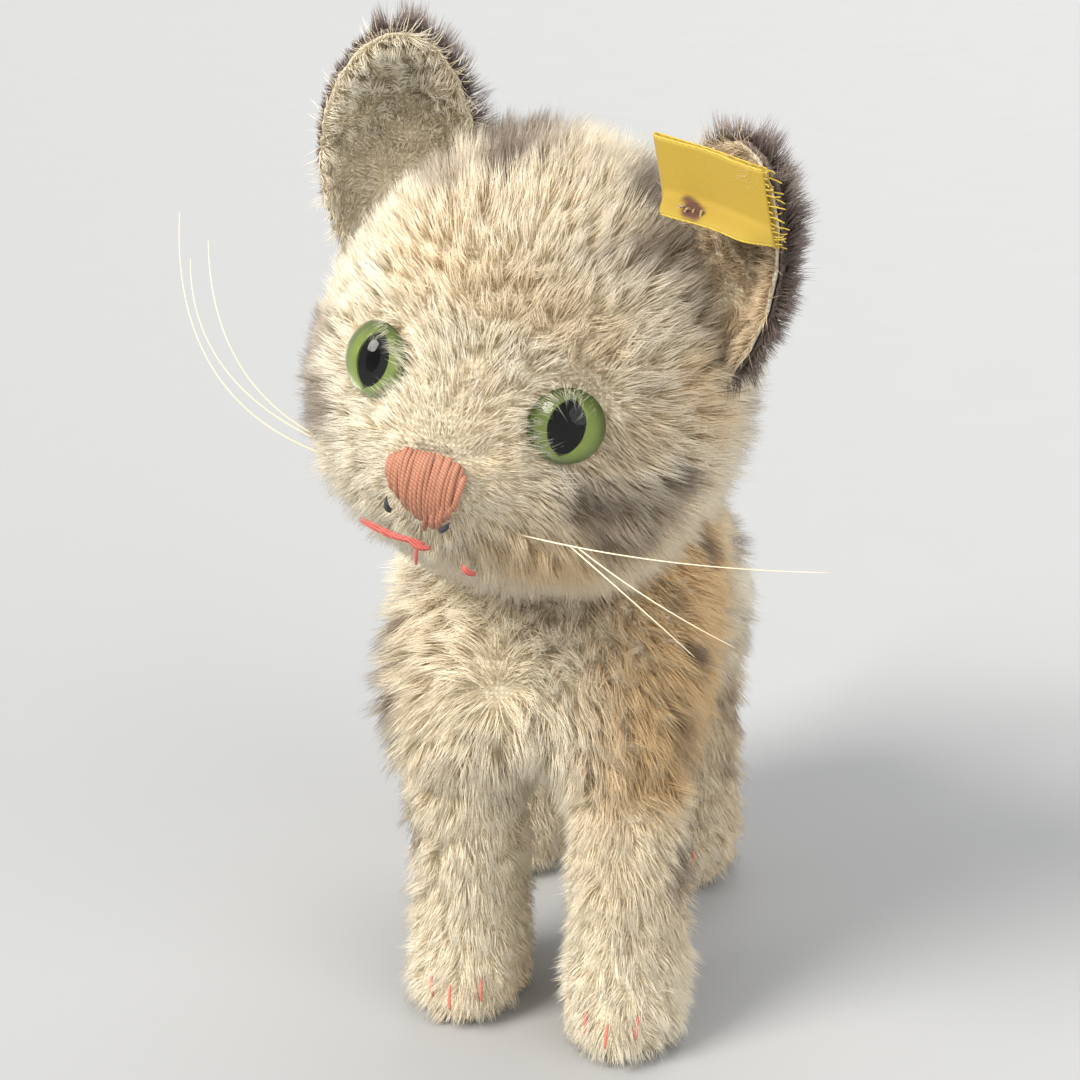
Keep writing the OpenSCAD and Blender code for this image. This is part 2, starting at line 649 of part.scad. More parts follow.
// each whisker: where it leaves the muzzle, and its tip, from the head's middle
whisker_depth = 3;
left_whiskers = [[[15, -31, -16], [60, -27, -5]], [[19, -29, -17.5], [50, -28, -22]], [[20, -29, -19], [45, -31, -25]]];
right_whiskers = [[[-17, -31, -14], [-55, -23, 12]], [[-19, -29, -12], [-49, -22, 9]], [[-19, -29, -14], [-50, -26, 6]]];
module whiskers(list) {
    for (w = list)
        rod(head_on(w[0], -whisker_depth), head_mid + w[1], whisker_d);
}

module whiskers_left() { color("#f3e6c8") posed_head() whiskers(left_whiskers); }
module whiskers_right() { color("#f3e6c8") posed_head() whiskers(right_whiskers); }

// ---------- ribbon tag ----------

tag_w = 11;
tag_l = 18;
tag_t = 0.5;
tag_fold_r = 1.1;
tag_start = head_on([17, -18.2, 41.5], 13.2);
tag_along = unit([18, -2, -0.2]);
tag_back_along = unit([-17, 0.5, -5]);
tag_across = unit([-4.4, -1.6, 8.8]);
tag_face = unit(cross(tag_across, tag_along));

// the ribbon's middle line: out along the front leaf, round the fold, and back behind it
function tag_line(t, lift) =
    t <= 1 ? tag_start + tag_l * t * tag_along - lift * tag_face
    : t < 2 ? let (a = 180 * (t - 1))
        tag_start + tag_l * tag_along + tag_fold_r * (sin(a) * tag_along + (1 - cos(a)) * tag_face)
        + lift * (sin(a) * tag_along - cos(a) * tag_face)
    : tag_start + tag_l * tag_along + 2 * tag_fold_r * tag_face + (t - 2) * tag_l * tag_back_along + lift * tag_face;
function tag_grid(lift) = [for (t = [0, 0.5, 1, 1.25, 1.5, 1.75, 2, 2.5, 3])
    [for (u = [-0.5, 0, 0.5]) tag_line(t, lift) + u * tag_w * tag_across]];

module ear_tag() { color("#e2c53a") posed_head() slab(tag_grid(tag_t / 2), tag_grid(-tag_t / 2)); }

// a plain two-part rivet through the ribbon's back leaf and the ear
module tag_rivet() {
    place = ear_pt(-0.35, 0.5, 0);
    color("#8a4b32") posed_head() {
        rod(place - 2.4 * ear_face, place + 3 * ear_face, 1);
    }
}

body_side_left();
body_side_right();
belly_gusset();
body_stuffing();
front_leg_left_cover();
front_leg_right_cover();
hind_leg_left_cover();
hind_leg_right_cover();
front_leg_left_stuffing();
front_leg_right_stuffing();
hind_leg_left_stuffing();
hind_leg_right_stuffing();
front_left_claws();
front_right_claws();
hind_left_claws();
hind_right_claws();
tail_cover();
tail_stuffing();
body_neck_gather();
body_gather_thread();
body_neck_disc();
body_neck_washer();
neck_pin();
head_side_left();
head_side_right();
head_gusset();
chin_gusset();
head_stuffing();
head_neck_gather();
head_gather_thread();
head_neck_disc();
head_neck_washer();
ear_left_back();
ear_left_lining();
ear_right_back();
ear_right_lining();
eye_left_glass();
eye_right_glass();
eye_left_iris();
eye_right_iris();
eye_left_pupil();
eye_right_pupil();
eye_left_shank();
eye_right_shank();
eye_ties();
nose_embroidery();
mouth_stitches();
nostril_stitches();
whiskers_left();
whiskers_right();
ear_tag();
tag_rivet();
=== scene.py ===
import json
import math

import bmesh
import bpy
import numpy as np
from mathutils import Matrix, Vector
from mathutils.bvhtree import BVHTree
from mathutils.kdtree import KDTree


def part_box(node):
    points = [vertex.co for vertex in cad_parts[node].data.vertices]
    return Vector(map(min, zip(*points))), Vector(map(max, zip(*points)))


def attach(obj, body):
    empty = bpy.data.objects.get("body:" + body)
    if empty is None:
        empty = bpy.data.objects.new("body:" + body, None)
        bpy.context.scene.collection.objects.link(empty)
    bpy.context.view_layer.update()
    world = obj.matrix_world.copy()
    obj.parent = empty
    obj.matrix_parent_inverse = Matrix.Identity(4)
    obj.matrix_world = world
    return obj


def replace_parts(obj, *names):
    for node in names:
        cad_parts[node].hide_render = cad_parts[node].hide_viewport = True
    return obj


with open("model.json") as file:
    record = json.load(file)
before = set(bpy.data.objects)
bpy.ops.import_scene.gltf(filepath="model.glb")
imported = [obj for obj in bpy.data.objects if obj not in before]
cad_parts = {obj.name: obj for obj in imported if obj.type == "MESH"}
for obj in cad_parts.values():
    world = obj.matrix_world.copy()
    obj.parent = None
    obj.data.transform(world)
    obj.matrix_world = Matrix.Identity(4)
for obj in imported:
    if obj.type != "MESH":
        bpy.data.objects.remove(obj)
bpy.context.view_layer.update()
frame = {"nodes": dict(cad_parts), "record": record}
mm = 0.001


# ways between the room and the head before it was turned; head places are in mm from its middle
headPose = {"turn": -17, "reach": 0.03475}
swivel = frame["record"]["behaviour"]["joints"][0]
neckPos = np.array(swivel["pos_m"])
neckAxis = np.array(swivel["axis"]) / np.linalg.norm(swivel["axis"])
headMid = neckPos + headPose["reach"] * neckAxis
headTurn = np.array(Matrix.Rotation(math.radians(headPose["turn"]), 3, Vector(neckAxis)))


def toHead(points):
    return ((points - neckPos) @ headTurn + neckPos - headMid) / mm


def fromHead(places):
    return (np.asarray(places, float) * mm + headMid - neckPos) @ headTurn.T + neckPos


def headWay(ways):
    return np.asarray(ways, float) @ headTurn.T


def unit(v):
    v = np.asarray(v, float)
    return v / np.maximum(np.linalg.norm(v, axis=-1, keepdims=True), 1e-9)


def smooth(low, high, x):
    t = np.clip((x - low) / (high - low), 0, 1)
    return t * t * (3 - 2 * t)


class Wire:
    def __init__(self, look, socket):
        self.look, self.socket = look, socket

    def reckon(self, operation, *values):
        return self.look.add("ShaderNodeMath", {"operation": operation}, dict(enumerate(values)))

    def __add__(self, other): return self.reckon("ADD", self, other)
    def __radd__(self, other): return self.reckon("ADD", other, self)
    def __sub__(self, other): return self.reckon("SUBTRACT", self, other)
    def __rsub__(self, other): return self.reckon("SUBTRACT", other, self)
    def __mul__(self, other): return self.reckon("MULTIPLY", self, other)
    def __rmul__(self, other): return self.reckon("MULTIPLY", other, self)
    def __truediv__(self, other): return self.reckon("DIVIDE", self, other)
    def __pow__(self, other): return self.reckon("POWER", self, other)

    def clamped(self):
        return self.look.add("ShaderNodeClamp", {}, {"Value": self})

    def steps(self, low, high):
        return self.look.add("ShaderNodeMapRange", {"interpolation_type": "SMOOTHSTEP"},
                             {"Value": self, "From Min": low, "From Max": high})


class Look:
    def __init__(self, name):
        self.material = bpy.data.materials.new(name)
        self.material.use_nodes = True
        self.tree = self.material.node_tree
        self.tree.nodes.clear()

    # one way to make any node: its settings are set first, then its sockets; gives the named output
    def add(self, kind, settings=None, sockets=None, output=0):
        node = self.tree.nodes.new(kind)
        for name, value in (settings or {}).items():
            setattr(node, name, value)
        for name, value in (sockets or {}).items():
            if isinstance(value, Wire):
                self.tree.links.new(value.socket, node.inputs[name])
            elif hasattr(value, "__len__") and len(value) == 3 and len(node.inputs[name].default_value) == 4:
                node.inputs[name].default_value = (*value, 1)
            else:
                node.inputs[name].default_value = value
        return Wire(self, node.outputs[output]) if node.outputs else None

    def value(self, name):
        return self.add("ShaderNodeAttribute", {"attribute_name": name}, output="Fac")

    def place(self):
        return self.add("ShaderNodeTexCoord", output="Object")

    def noise(self, scale, detail=2, rough=0.5, at=None, stretch=None):
        at = at or self.place()
        if stretch:
            at = self.add("ShaderNodeVectorMath", {"operation": "MULTIPLY"}, {0: at, 1: stretch})
        return self.add("ShaderNodeTexNoise", {}, {"Vector": at, "Scale": scale, "Detail": detail,
                                                   "Roughness": rough})

    def wave(self, way, scale, distortion, detail=1, at=None):
        return self.add("ShaderNodeTexWave", {"bands_direction": way},
                        {"Vector": at or self.place(), "Scale": scale, "Distortion": distortion, "Detail": detail},
                        output="Fac")

    # sockets 0, 6, 7 and output 2 are the Mix node's factor, colours and result
    def mixed(self, factor, first, second, how="MIX"):
        return self.add("ShaderNodeMix", {"data_type": "RGBA", "blend_type": how},
                        {0: factor, 6: first, 7: second}, output=2)

    # ends the material: bump is (height wire, strength, distance)
    def shade(self, sockets, bump=None):
        if bump:
            sockets["Normal"] = self.add("ShaderNodeBump", {}, {"Height": bump[0], "Strength": bump[1],
                                                                "Distance": bump[2]})
        shader = self.add("ShaderNodeBsdfPrincipled", {}, sockets)
        self.add("ShaderNodeOutputMaterial", {}, {"Surface": shader})
        return self.material


def addObject(name, mesh, material, body):
    piece = bpy.data.objects.new(name, mesh)
    bpy.context.collection.objects.link(piece)
    mesh.materials.clear()
    mesh.materials.append(material)
    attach(piece, body)
    return piece


def meshFrom(name, points, faces, attributes=None, uvs=None):
    points, faces = np.asarray(points, np.float32), np.asarray(faces, np.int32)
    mesh = bpy.data.meshes.new(name)
    sides = faces.shape[1]
    mesh.vertices.add(len(points))
    mesh.vertices.foreach_set("co", points.ravel())
    mesh.loops.add(faces.size)
    mesh.loops.foreach_set("vertex_index", faces.ravel())
    mesh.polygons.add(len(faces))
    mesh.polygons.foreach_set("loop_start", np.arange(0, faces.size, sides, dtype=np.int32))
    mesh.polygons.foreach_set("use_smooth", np.full(len(faces), True))
    mesh.update(calc_edges=True)
    for key, values in (attributes or {}).items():
        mesh.attributes.new(key, "FLOAT", "POINT").data.foreach_set("value", np.asarray(values, np.float32).ravel())
    if uvs is not None:
        mesh.uv_layers.new(name="OFBake").data.foreach_set("uv", np.asarray(uvs, np.float32).ravel())
    return mesh


def readOut(items, key, kind=np.float32):
    values = np.empty(len(items) * 3, kind)
    items.foreach_get(key, values)
    return values.reshape(-1, 3)


def pointsOf(node):
    return readOut(frame["nodes"][node].data.vertices, "co").astype(float)


def middleOf(node):
    low, high = (np.array(corner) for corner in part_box(node))
    return (low + high) / 2


# a tube along a path, with a radius at each point; closed at both ends
def tube(path, radii, sides=8):
    path = np.asarray(path, float)
    radii = np.broadcast_to(np.asarray(radii, float), len(path))
    ahead = unit(np.gradient(path, axis=0))
    side = unit(np.cross(ahead[0], [0.31, 0.17, 0.93]))
    rings = []
    for here, way, radius in zip(path, ahead, radii):
        side = unit(side - way * (side @ way))
        other = np.cross(way, side)
        turns = np.arange(sides) * 2 * math.pi / sides
        rings.append(here + radius * (np.cos(turns)[:, None] * side + np.sin(turns)[:, None] * other))
    points = np.concatenate([*rings, [path[0]], [path[-1]]])
    faces = []
    last = len(path) * sides
    for j in range(sides):
        k = (j + 1) % sides
        for i in range(len(path) - 1):
            a, b = i * sides, (i + 1) * sides
            faces += [(a + j, a + k, b + k), (a + j, b + k, b + j)]
        faces += [(last, k, j), (last + 1, last - sides + j, last - sides + k)]
    return points, np.array(faces)


def joined(parts):
    points, faces, at = [], [], 0
    for p, f in parts:
        points.append(p)
        faces.append(f + at)
        at += len(p)
    return np.concatenate(points), np.concatenate(faces)


# one piece made of many closed tubes
def threadPiece(name, parts, look, body="head"):
    return addObject(name, meshFrom(name, *joined(parts)), looks[look], body)


def curveThrough(start, control, end, count):
    t = np.linspace(0, 1, count)[:, None]
    return (1 - t) ** 2 * start + 2 * t * (1 - t) * control + t * t * end


# remeshed to even voxels, and smoothed over some rounds
def evened(mesh, voxel, rounds=0):
    piece = bpy.data.objects.new("evened", mesh)
    bpy.context.collection.objects.link(piece)
    remesh = piece.modifiers.new("even", "REMESH")
    remesh.mode, remesh.voxel_size, remesh.use_smooth_shade = "VOXEL", voxel, True
    if rounds:
        relax = piece.modifiers.new("soft", "SMOOTH")
        relax.factor, relax.iterations = 0.5, rounds
    done = bpy.data.meshes.new_from_object(piece.evaluated_get(bpy.context.evaluated_depsgraph_get()))
    bpy.data.objects.remove(piece)
    return done


# leaves out shells that face inwards, such as the inner side of the cloth, and crumbs
def outerOnly(mesh, crumb=200):
    bm = bmesh.new()
    bm.from_mesh(mesh)
    bm.faces.ensure_lookup_table()
    seen, inner = set(), []
    for face in bm.faces:
        if face in seen:
            continue
        group, todo, volume = [], [face], 0.0
        seen.add(face)
        while todo:
            here = todo.pop()
            group.append(here)
            volume += here.calc_center_median().dot(here.normal) * here.calc_area()
            for edge in here.edges:
                for other in edge.link_faces:
                    if other not in seen:
                        seen.add(other)
                        todo.append(other)
        if volume < 0 or len(group) < crumb:
            inner += group
    bmesh.ops.delete(bm, geom=inner, context="FACES")
    bm.to_mesh(mesh)
    bm.free()
    return mesh


# swollen along its normals, or drawn in
def drawn(mesh, distance):
    places = readOut(mesh.vertices, "co") + readOut(mesh.vertices, "normal") * distance
    mesh.vertices.foreach_set("co", places.ravel())
    mesh.update()
    return mesh


# the covers of some CAD nodes as one smooth skin
def skinOf(name, nodes, voxel, rounds, fine=0.8 * mm, close=0.0):
    bm = bmesh.new()
    for node in nodes:
        bm.from_mesh(frame["nodes"][node].data)
    bmesh.ops.remove_doubles(bm, verts=bm.verts, dist=1e-6)
    raw = bpy.data.meshes.new(name)
    bm.to_mesh(raw)
    bm.free()
    mesh = outerOnly(evened(raw, fine))
    if close:
        # swollen, made one, and drawn in again, which closes the slits between sewn-on parts
        mesh = drawn(outerOnly(evened(drawn(mesh, close), voxel)), -close)
    mesh = evened(mesh, voxel, rounds)
    mesh.name = name
    return mesh


def surfaceTree(mesh):
    mesh.calc_loop_triangles()
    return BVHTree.FromPolygons([v.co for v in mesh.vertices], [t.vertices for t in mesh.loop_triangles])


# roots spread evenly over a mesh, with the smooth normals there
def scatter(mesh, count, rng):
    mesh.calc_loop_triangles()
    tris = readOut(mesh.loop_triangles, "vertices", np.int32)
    co, normals = readOut(mesh.vertices, "co").astype(float), readOut(mesh.vertices, "normal")
    a, b, c = (co[tris[:, k]] for k in range(3))
    share = np.cumsum(np.linalg.norm(np.cross(b - a, c - a), axis=1))
    pick = np.searchsorted(share / share[-1], (np.arange(count) + rng.random(count)) / count).clip(0, len(tris) - 1)
    u, v = rng.random(count), rng.random(count)
    u, v = np.where(u + v > 1, 1 - u, u)[:, None], np.where(u + v > 1, 1 - v, v)[:, None]
    t = tris[pick]
    roots = a[pick] + u * (b[pick] - a[pick]) + v * (c[pick] - a[pick])
    ways = normals[t[:, 0]] * (1 - u - v) + normals[t[:, 1]] * u + normals[t[:, 2]] * v
    return roots, unit(ways)


# which centre each point is nearest to
def nearestOf(centres, points):
    tree = KDTree(len(centres))
    for k, place in enumerate(centres):
        tree.insert(place, k)
    tree.balance()
    return np.array([tree.find(p)[1] for p in points])


# order of cells along a curve that keeps neighbours together, for the strands' places on their texture
def mortonOrder(points):
    low = points.min(0)
    cells = ((points - low) / max(np.ptp(points, axis=0).max(), 1e-6) * 1023).astype(np.int64)
    code = np.zeros(len(points), np.int64)
    for bit in range(10):
        for axis in range(3):
            code |= ((cells[:, axis] >> bit) & 1) << (3 * bit + axis)
    return np.argsort(code)


# the column and row of a cell in that order
def cellOf(index):
    x, y = np.zeros_like(index), np.zeros_like(index)
    for bit in range(10):
        x |= ((index >> (2 * bit)) & 1) << bit
        y |= ((index >> (2 * bit + 1)) & 1) << bit
    return x, y


# grows strands: each is a closed three-sided hair that leaves its root along `way` and ends at root + reach
def strandMesh(name, root, way, reach, radius, attributes, rng, rings=(0, 0.45)):
    order = mortonOrder(root)
    root, way, reach, radius = root[order], way[order], reach[order], radius[order]
    n, levels = len(root), len(rings)
    length = np.linalg.norm(reach, axis=1, keepdims=True)
    side = unit(np.cross(way, rng.normal(size=(n, 3))))
    other = np.cross(way, side)
    wave = rng.normal(size=(n, 3)) * length * 0.03
    points = np.empty((n, levels * 3 + 1, 3), np.float32)
    along = np.empty((n, levels * 3 + 1), np.float32)
    for k, t in enumerate(rings):
        centre = root + t * (1 - t) * way * length + t * t * reach + wave * (t > 0) * (1 if k % 2 else -0.6)
        r = radius[:, None] * (1 - 0.55 * t)
        for j in range(3):
            turn = j * 2 * math.pi / 3
            points[:, k * 3 + j] = centre + r * (math.cos(turn) * side + math.sin(turn) * other)
            along[:, k * 3 + j] = t
    points[:, -1] = root + reach
    along[:, -1] = 1
    points[:, :, 2] = np.maximum(points[:, :, 2], 0.0002)
    tip = levels * 3
    pattern = [(0, 2, 1)]
    for k in range(levels - 1):
        for j in range(3):
            a, b = k * 3 + j, k * 3 + (j + 1) % 3
            pattern += [(a, b, b + 3), (a, b + 3, a + 3)]
    for j in range(3):
        pattern.append(((levels - 1) * 3 + j, (levels - 1) * 3 + (j + 1) % 3, tip))
    pattern = np.array(pattern)
    faces = (pattern[None] + (np.arange(n) * (tip + 1))[:, None, None]).reshape(-1, 3)
    # texture places: a cell for each strand, root low and tip high in it
    cells = 1 << max(1, math.ceil(math.log2(max(n, 2)) / 2))
    x, y = cellOf(np.arange(n))
    levelOf = np.array([*np.repeat(rings, 3), 1.0])
    across = np.array([*np.tile([0.2, 0.5, 0.8], levels), 0.5])
    u, v = ((cell[:, None] + 0.15 + 0.7 * within[pattern.ravel()][None]) / cells
            for cell, within in ((x, across), (y, levelOf)))
    uvs = np.stack([u, v], -1).reshape(-1, 2)
    values = {key: np.repeat(value[order], tip + 1) for key, value in attributes.items()}
    values["along"] = along.ravel()
    return meshFrom(name, points.reshape(-1, 3), faces, values, uvs)


furPlan = {
    "density": 4.4,        # strands on each mm2 of cloth
    "radius": 0.074,       # mm, at the root
    "clump": 2.3,          # mm between the middles of tufts
    "gather": 0.46,        # how far tips lean to their tuft's tip
    "farTip": 3.2,         # mm; a tip further than this from its tuft's stays where it is
    "spread": 0.26,        # how much tufts differ in direction
    "stray": 0.10,         # and how much hairs do
    "uneven": (0.12, 0.13),      # in length, of tufts and of hairs
    "shares": (0.55, 1.35),      # shortest and longest hair, of the length asked for
    "droop": 0.45, "weight": 0.12,    # along the comb, and downwards
    "sunk": 0.25,          # mm below the cloth
    "marksAt": 0.55,       # height in the hair where its marks are read
    "most": 19500,         # strands in one piece
}


# fur on a skin: field(points, normals) gives length (mm), comb direction, lean (0 upright), the share of hairs
# that stay, and attributes
def fur(name, mesh, field, body, material, seed, split=None, density=1.0, radius=1.0,
        gather=furPlan["gather"], clump=1.0, spread=1.0):
    rng = np.random.default_rng(seed)
    areaMm = sum(p.area for p in mesh.polygons) / mm ** 2
    thin = 1.0
    count = int(areaMm * furPlan["density"] * density * thin)
    root, normal = scatter(mesh, count, rng)
    length, comb, lean, keep, values = field(root, normal)
    stay = rng.random(count) < keep
    root, normal, length, comb, lean = root[stay], normal[stay], length[stay], comb[stay], lean[stay]
    values = {key: value[stay] for key, value in values.items()}
    count = len(root)
    tufts = max(8, int(areaMm / (furPlan["clump"] * clump) ** 2))
    centre, _ = scatter(mesh, tufts, rng)
    which = nearestOf(centre, root)
    sway = rng.normal(size=(tufts, 3)) * furPlan["spread"] * spread
    tuftUneven, hairUneven = furPlan["uneven"]
    tuftShare = rng.normal(1, tuftUneven, tufts)
    flat = unit(comb - normal * np.sum(comb * normal, axis=1, keepdims=True))
    lean = lean[:, None]
    stray = rng.normal(size=(count, 3)) * furPlan["stray"]
    lift = unit(normal * np.cos(lean) + flat * np.sin(lean) + sway[which] + stray)
    tall = length * np.clip(tuftShare[which] * rng.normal(1, hairUneven, count), *furPlan["shares"])
    droop = unit(lift + flat * furPlan["droop"] + np.array([0, 0, -furPlan["weight"]]))
    reach = (0.5 * lift + 0.5 * droop) * tall[:, None] * mm
    # tips of one tuft come together
    first = np.zeros(tufts, int)
    first[which[::-1]] = np.arange(count)[::-1]
    tuftTip = centre + reach[first]
    pull = gather * rng.uniform(0.4, 1.0, count)[:, None]
    target = tuftTip[which] - root
    target = target - normal * np.sum(target * normal, axis=1, keepdims=True) \
        + normal * np.sum(reach * normal, axis=1, keepdims=True)
    far = np.linalg.norm(target - reach, axis=1, keepdims=True) > furPlan["farTip"] * mm
    reach = np.where(far, reach, reach * (1 - pull) + target * pull)
    wide = furPlan["radius"] * mm * radius * rng.uniform(0.7, 1.25, count) * 1.0
    values["tone"] = rng.random(count) * 0.6 + rng.random(tufts)[which] * 0.4
    root = root - normal * furPlan["sunk"] * mm
    groups = split(root) if split else np.zeros(count, int)
    shares = []
    for k in sorted(set(groups)):
        members = np.flatnonzero(groups == k)
        members = members[np.argsort(root[members][:, 2], kind="stable")]
        shares += np.array_split(members, -(-len(members) // furPlan["most"]))
    for k, mask in enumerate(shares):
        label = f"{name}_{k + 1}"
        part = strandMesh(label, root[mask], lift[mask], reach[mask], wide[mask],
                          {key: value[mask] for key, value in values.items()}, rng)
        addObject(label, part, material, body)
    return count


# sums soft-edged strokes, each (start, end, radius, strength) in mm
def strokes(points, plan, edge=0.6):
    dark = np.zeros(len(points))
    for a, b, radius, strength in plan:
        a, b = np.array(a, float), np.array(b, float)
        t = np.clip(((points - a) @ (b - a)) / max((b - a) @ (b - a), 1e-6), 0, 1)[:, None]
        gap = np.linalg.norm(points - a - t * (b - a), axis=1)
        dark = np.maximum(dark, strength * (1 - smooth(radius * edge, radius * (edge + 1.0), gap)))
    return dark


headBall = 37    # mm


# strokes laid on a ball round the head's middle
def ballStrokes(points, plan):
    onBall = [(unit(a) * headBall, unit(b) * headBall, radius, strength) for a, b, radius, strength in plan]
    return strokes(unit(points) * headBall, onBall)


# patchy value from waves, the same every run
def patchy(points, size, seed):
    rng = np.random.default_rng(seed)
    total = np.zeros(len(points))
    for _ in range(7):
        total += np.sin(points @ (unit(rng.normal(size=3)) * rng.uniform(0.7, 1.5) / size) + rng.uniform(0, 6.3))
    return total / 3.2


colours = {
    "creamTip": (0.95, 0.90, 0.78), "creamRoot": (0.86, 0.71, 0.46),
    "bodyTip": (1.0, 0.935, 0.79), "bodyRoot": (0.91, 0.77, 0.53),
    "tan": (0.84, 0.585, 0.30), "taupe": (0.215, 0.155, 0.13), "brown": (0.075, 0.045, 0.035),
    "cloth": (0.84, 0.73, 0.52), "gold": (0.78, 0.62, 0.36),
}


def pileLook(name, root, tip, dark):
    look = Look(name)
    along, tone = look.value("along"), look.value("tone")
    base = look.mixed(along ** 0.7, root, tip)
    base = look.mixed(look.value("warm"), base, colours["tan"])
    base = look.mixed((look.value("stripe") * (0.35 + 0.65 * along)).clamped(), base, dark)
    base = look.mixed((look.value("deep") * (0.55 + 0.45 * along)).clamped(), base, colours["brown"])
    shade = (0.84 + 0.26 * tone)
    grey = look.add("ShaderNodeCombineColor", {}, {"Red": shade, "Green": shade, "Blue": shade * 0.985})
    base = look.mixed(1.0, base, grey, "MULTIPLY")
    dirt = look.noise(160, 3).steps(0.35, 0.8)
    base = look.mixed(dirt * 0.12, base, colours["gold"])
    return look.shade({"Base Color": base, "Roughness": 0.45 + 0.2 * tone, "Specular IOR Level": 0.4,
                       "Sheen Weight": 0.08, "Sheen Roughness": 0.4, "Sheen Tint": (1, 0.97, 0.9, 1)})


def clothLook(name, colour, scale=1100 / 3, depth=0.0002):
    look = Look(name)
    at = look.place()
    weave = (look.wave("X", scale, 1.5, at=at) * look.wave("Z", scale, 1.5, at=at)).clamped()
    age = look.noise(60, 4)
    base = look.mixed(weave, [c * 0.62 for c in colour], colour)
    base = look.mixed(age * 0.35, base, [c * 0.8 for c in colour])
    return look.shade({"Base Color": base, "Roughness": 0.8 + 0.15 * age, "Sheen Weight": 0.2},
                      (weave, 0.6, depth))


def threadLook(name, colour, dark, scale=900):
    look = Look(name)
    twist = look.wave("DIAGONAL", scale, 2.0, 2)
    worn = look.noise(700, 3)
    base = look.mixed(twist, dark, colour)
    base = look.mixed((worn * 0.5).clamped(), base, [min(1, c * 1.25 + 0.03) for c in colour])
    return look.shade({"Base Color": base, "Roughness": 0.5 + 0.2 * worn, "Sheen Weight": 0.05},
                      (twist, 0.5, 0.0001))


def metalLook(name, colour, rough, metallic=1.0):
    look = Look(name)
    stain = look.noise(300, 5, 0.65)
    base = look.mixed(stain.steps(0.45, 0.75) * 0.6, colour, (0.16, 0.09, 0.05))
    return look.shade({"Base Color": base, "Metallic": metallic, "Roughness": rough + 0.3 * stain},
                      (stain, 0.2, 0.0001))


def woolLook(name):
    look = Look(name)
    fibres = look.noise(420, 6, 0.7, stretch=(1, 4, 1))
    base = look.mixed(fibres.steps(0.3, 0.7), (0.30, 0.20, 0.09), (0.72, 0.56, 0.32))
    return look.shade({"Base Color": base, "Roughness": 0.8 + 0.1 * fibres}, (fibres, 0.8, 0.0006))


def boardLook(name):
    look = Look(name)
    fleck = look.noise(900, 4, 0.7)
    base = look.mixed(fleck, (0.26, 0.17, 0.10), (0.48, 0.35, 0.22))
    return look.shade({"Base Color": base, "Roughness": 0.85 + 0.1 * fleck}, (fleck, 0.3, 0.0002))


def glassLook(name):
    look = Look(name)
    smear = look.noise(220, 3)
    return look.shade({"Base Color": (0.96, 0.99, 0.93, 1), "Roughness": 0.015 + 0.03 * smear, "IOR": 1.27,
                       "Transmission Weight": 1.0})


def irisLook(name, middle):
    look = Look(name)
    away = look.add("ShaderNodeVectorMath", {"operation": "SUBTRACT"}, {0: look.place(), 1: tuple(middle)})
    gap = look.add("ShaderNodeVectorMath", {"operation": "LENGTH"}, {0: away}, output="Value") / 0.006
    streak = look.noise(900, 3, at=away)
    base = look.mixed(gap.steps(0.55, 1.0), (0.215, 0.27, 0.03), (0.055, 0.085, 0.010))
    base = look.mixed((streak * 0.35).clamped(), base, (0.13, 0.17, 0.02))
    return look.shade({"Base Color": base, "Roughness": 0.3 + 0.2 * streak, "Coat Weight": 0.3})


def pupilLook(name):
    look = Look(name)
    cloud = look.noise(500, 2)
    return look.shade({"Base Color": look.mixed(cloud, (0.0008, 0.0008, 0.0008), (0.003, 0.003, 0.003)),
                       "Roughness": 0.5 + 0.1 * cloud, "Specular IOR Level": 0.0})


def ribbonLook(name):
    look = Look(name)
    across, down = look.value("across"), look.value("down")
    warp = look.add("ShaderNodeMath", {"operation": "SINE"}, {0: across * 230})
    weft = look.add("ShaderNodeMath", {"operation": "SINE"}, {0: down * 640})
    rib = (warp * weft * 0.5 + 0.5).clamped()
    wear = look.noise(180, 5, 0.6)
    edge = (across - 0.5) * (across - 0.5) * 4
    base = look.mixed(rib, (0.29, 0.18, 0.007), (0.49, 0.325, 0.020))
    base = look.mixed(wear.steps(0.5, 0.75) * 0.4, base, (0.36, 0.25, 0.03))
    base = look.mixed(edge.steps(0.75, 1.0) * 0.5, base, (0.53, 0.38, 0.05))
    rust = look.value("rust")
    base = look.mixed((rust * (0.7 + 0.6 * wear)).clamped(), base, (0.085, 0.022, 0.008))
    return look.shade({"Base Color": base, "Roughness": 0.55 + 0.2 * wear, "Sheen Weight": 0.2},
                      (rib, 0.5, 0.00012))


def bristleLook(name):
    look = Look(name)
    tone = look.noise(90, 2)
    base = look.mixed(tone, (0.80, 0.62, 0.36), (0.93, 0.84, 0.66))
    return look.shade({"Base Color": base, "Roughness": 0.25 + 0.15 * tone, "Specular IOR Level": 0.6})


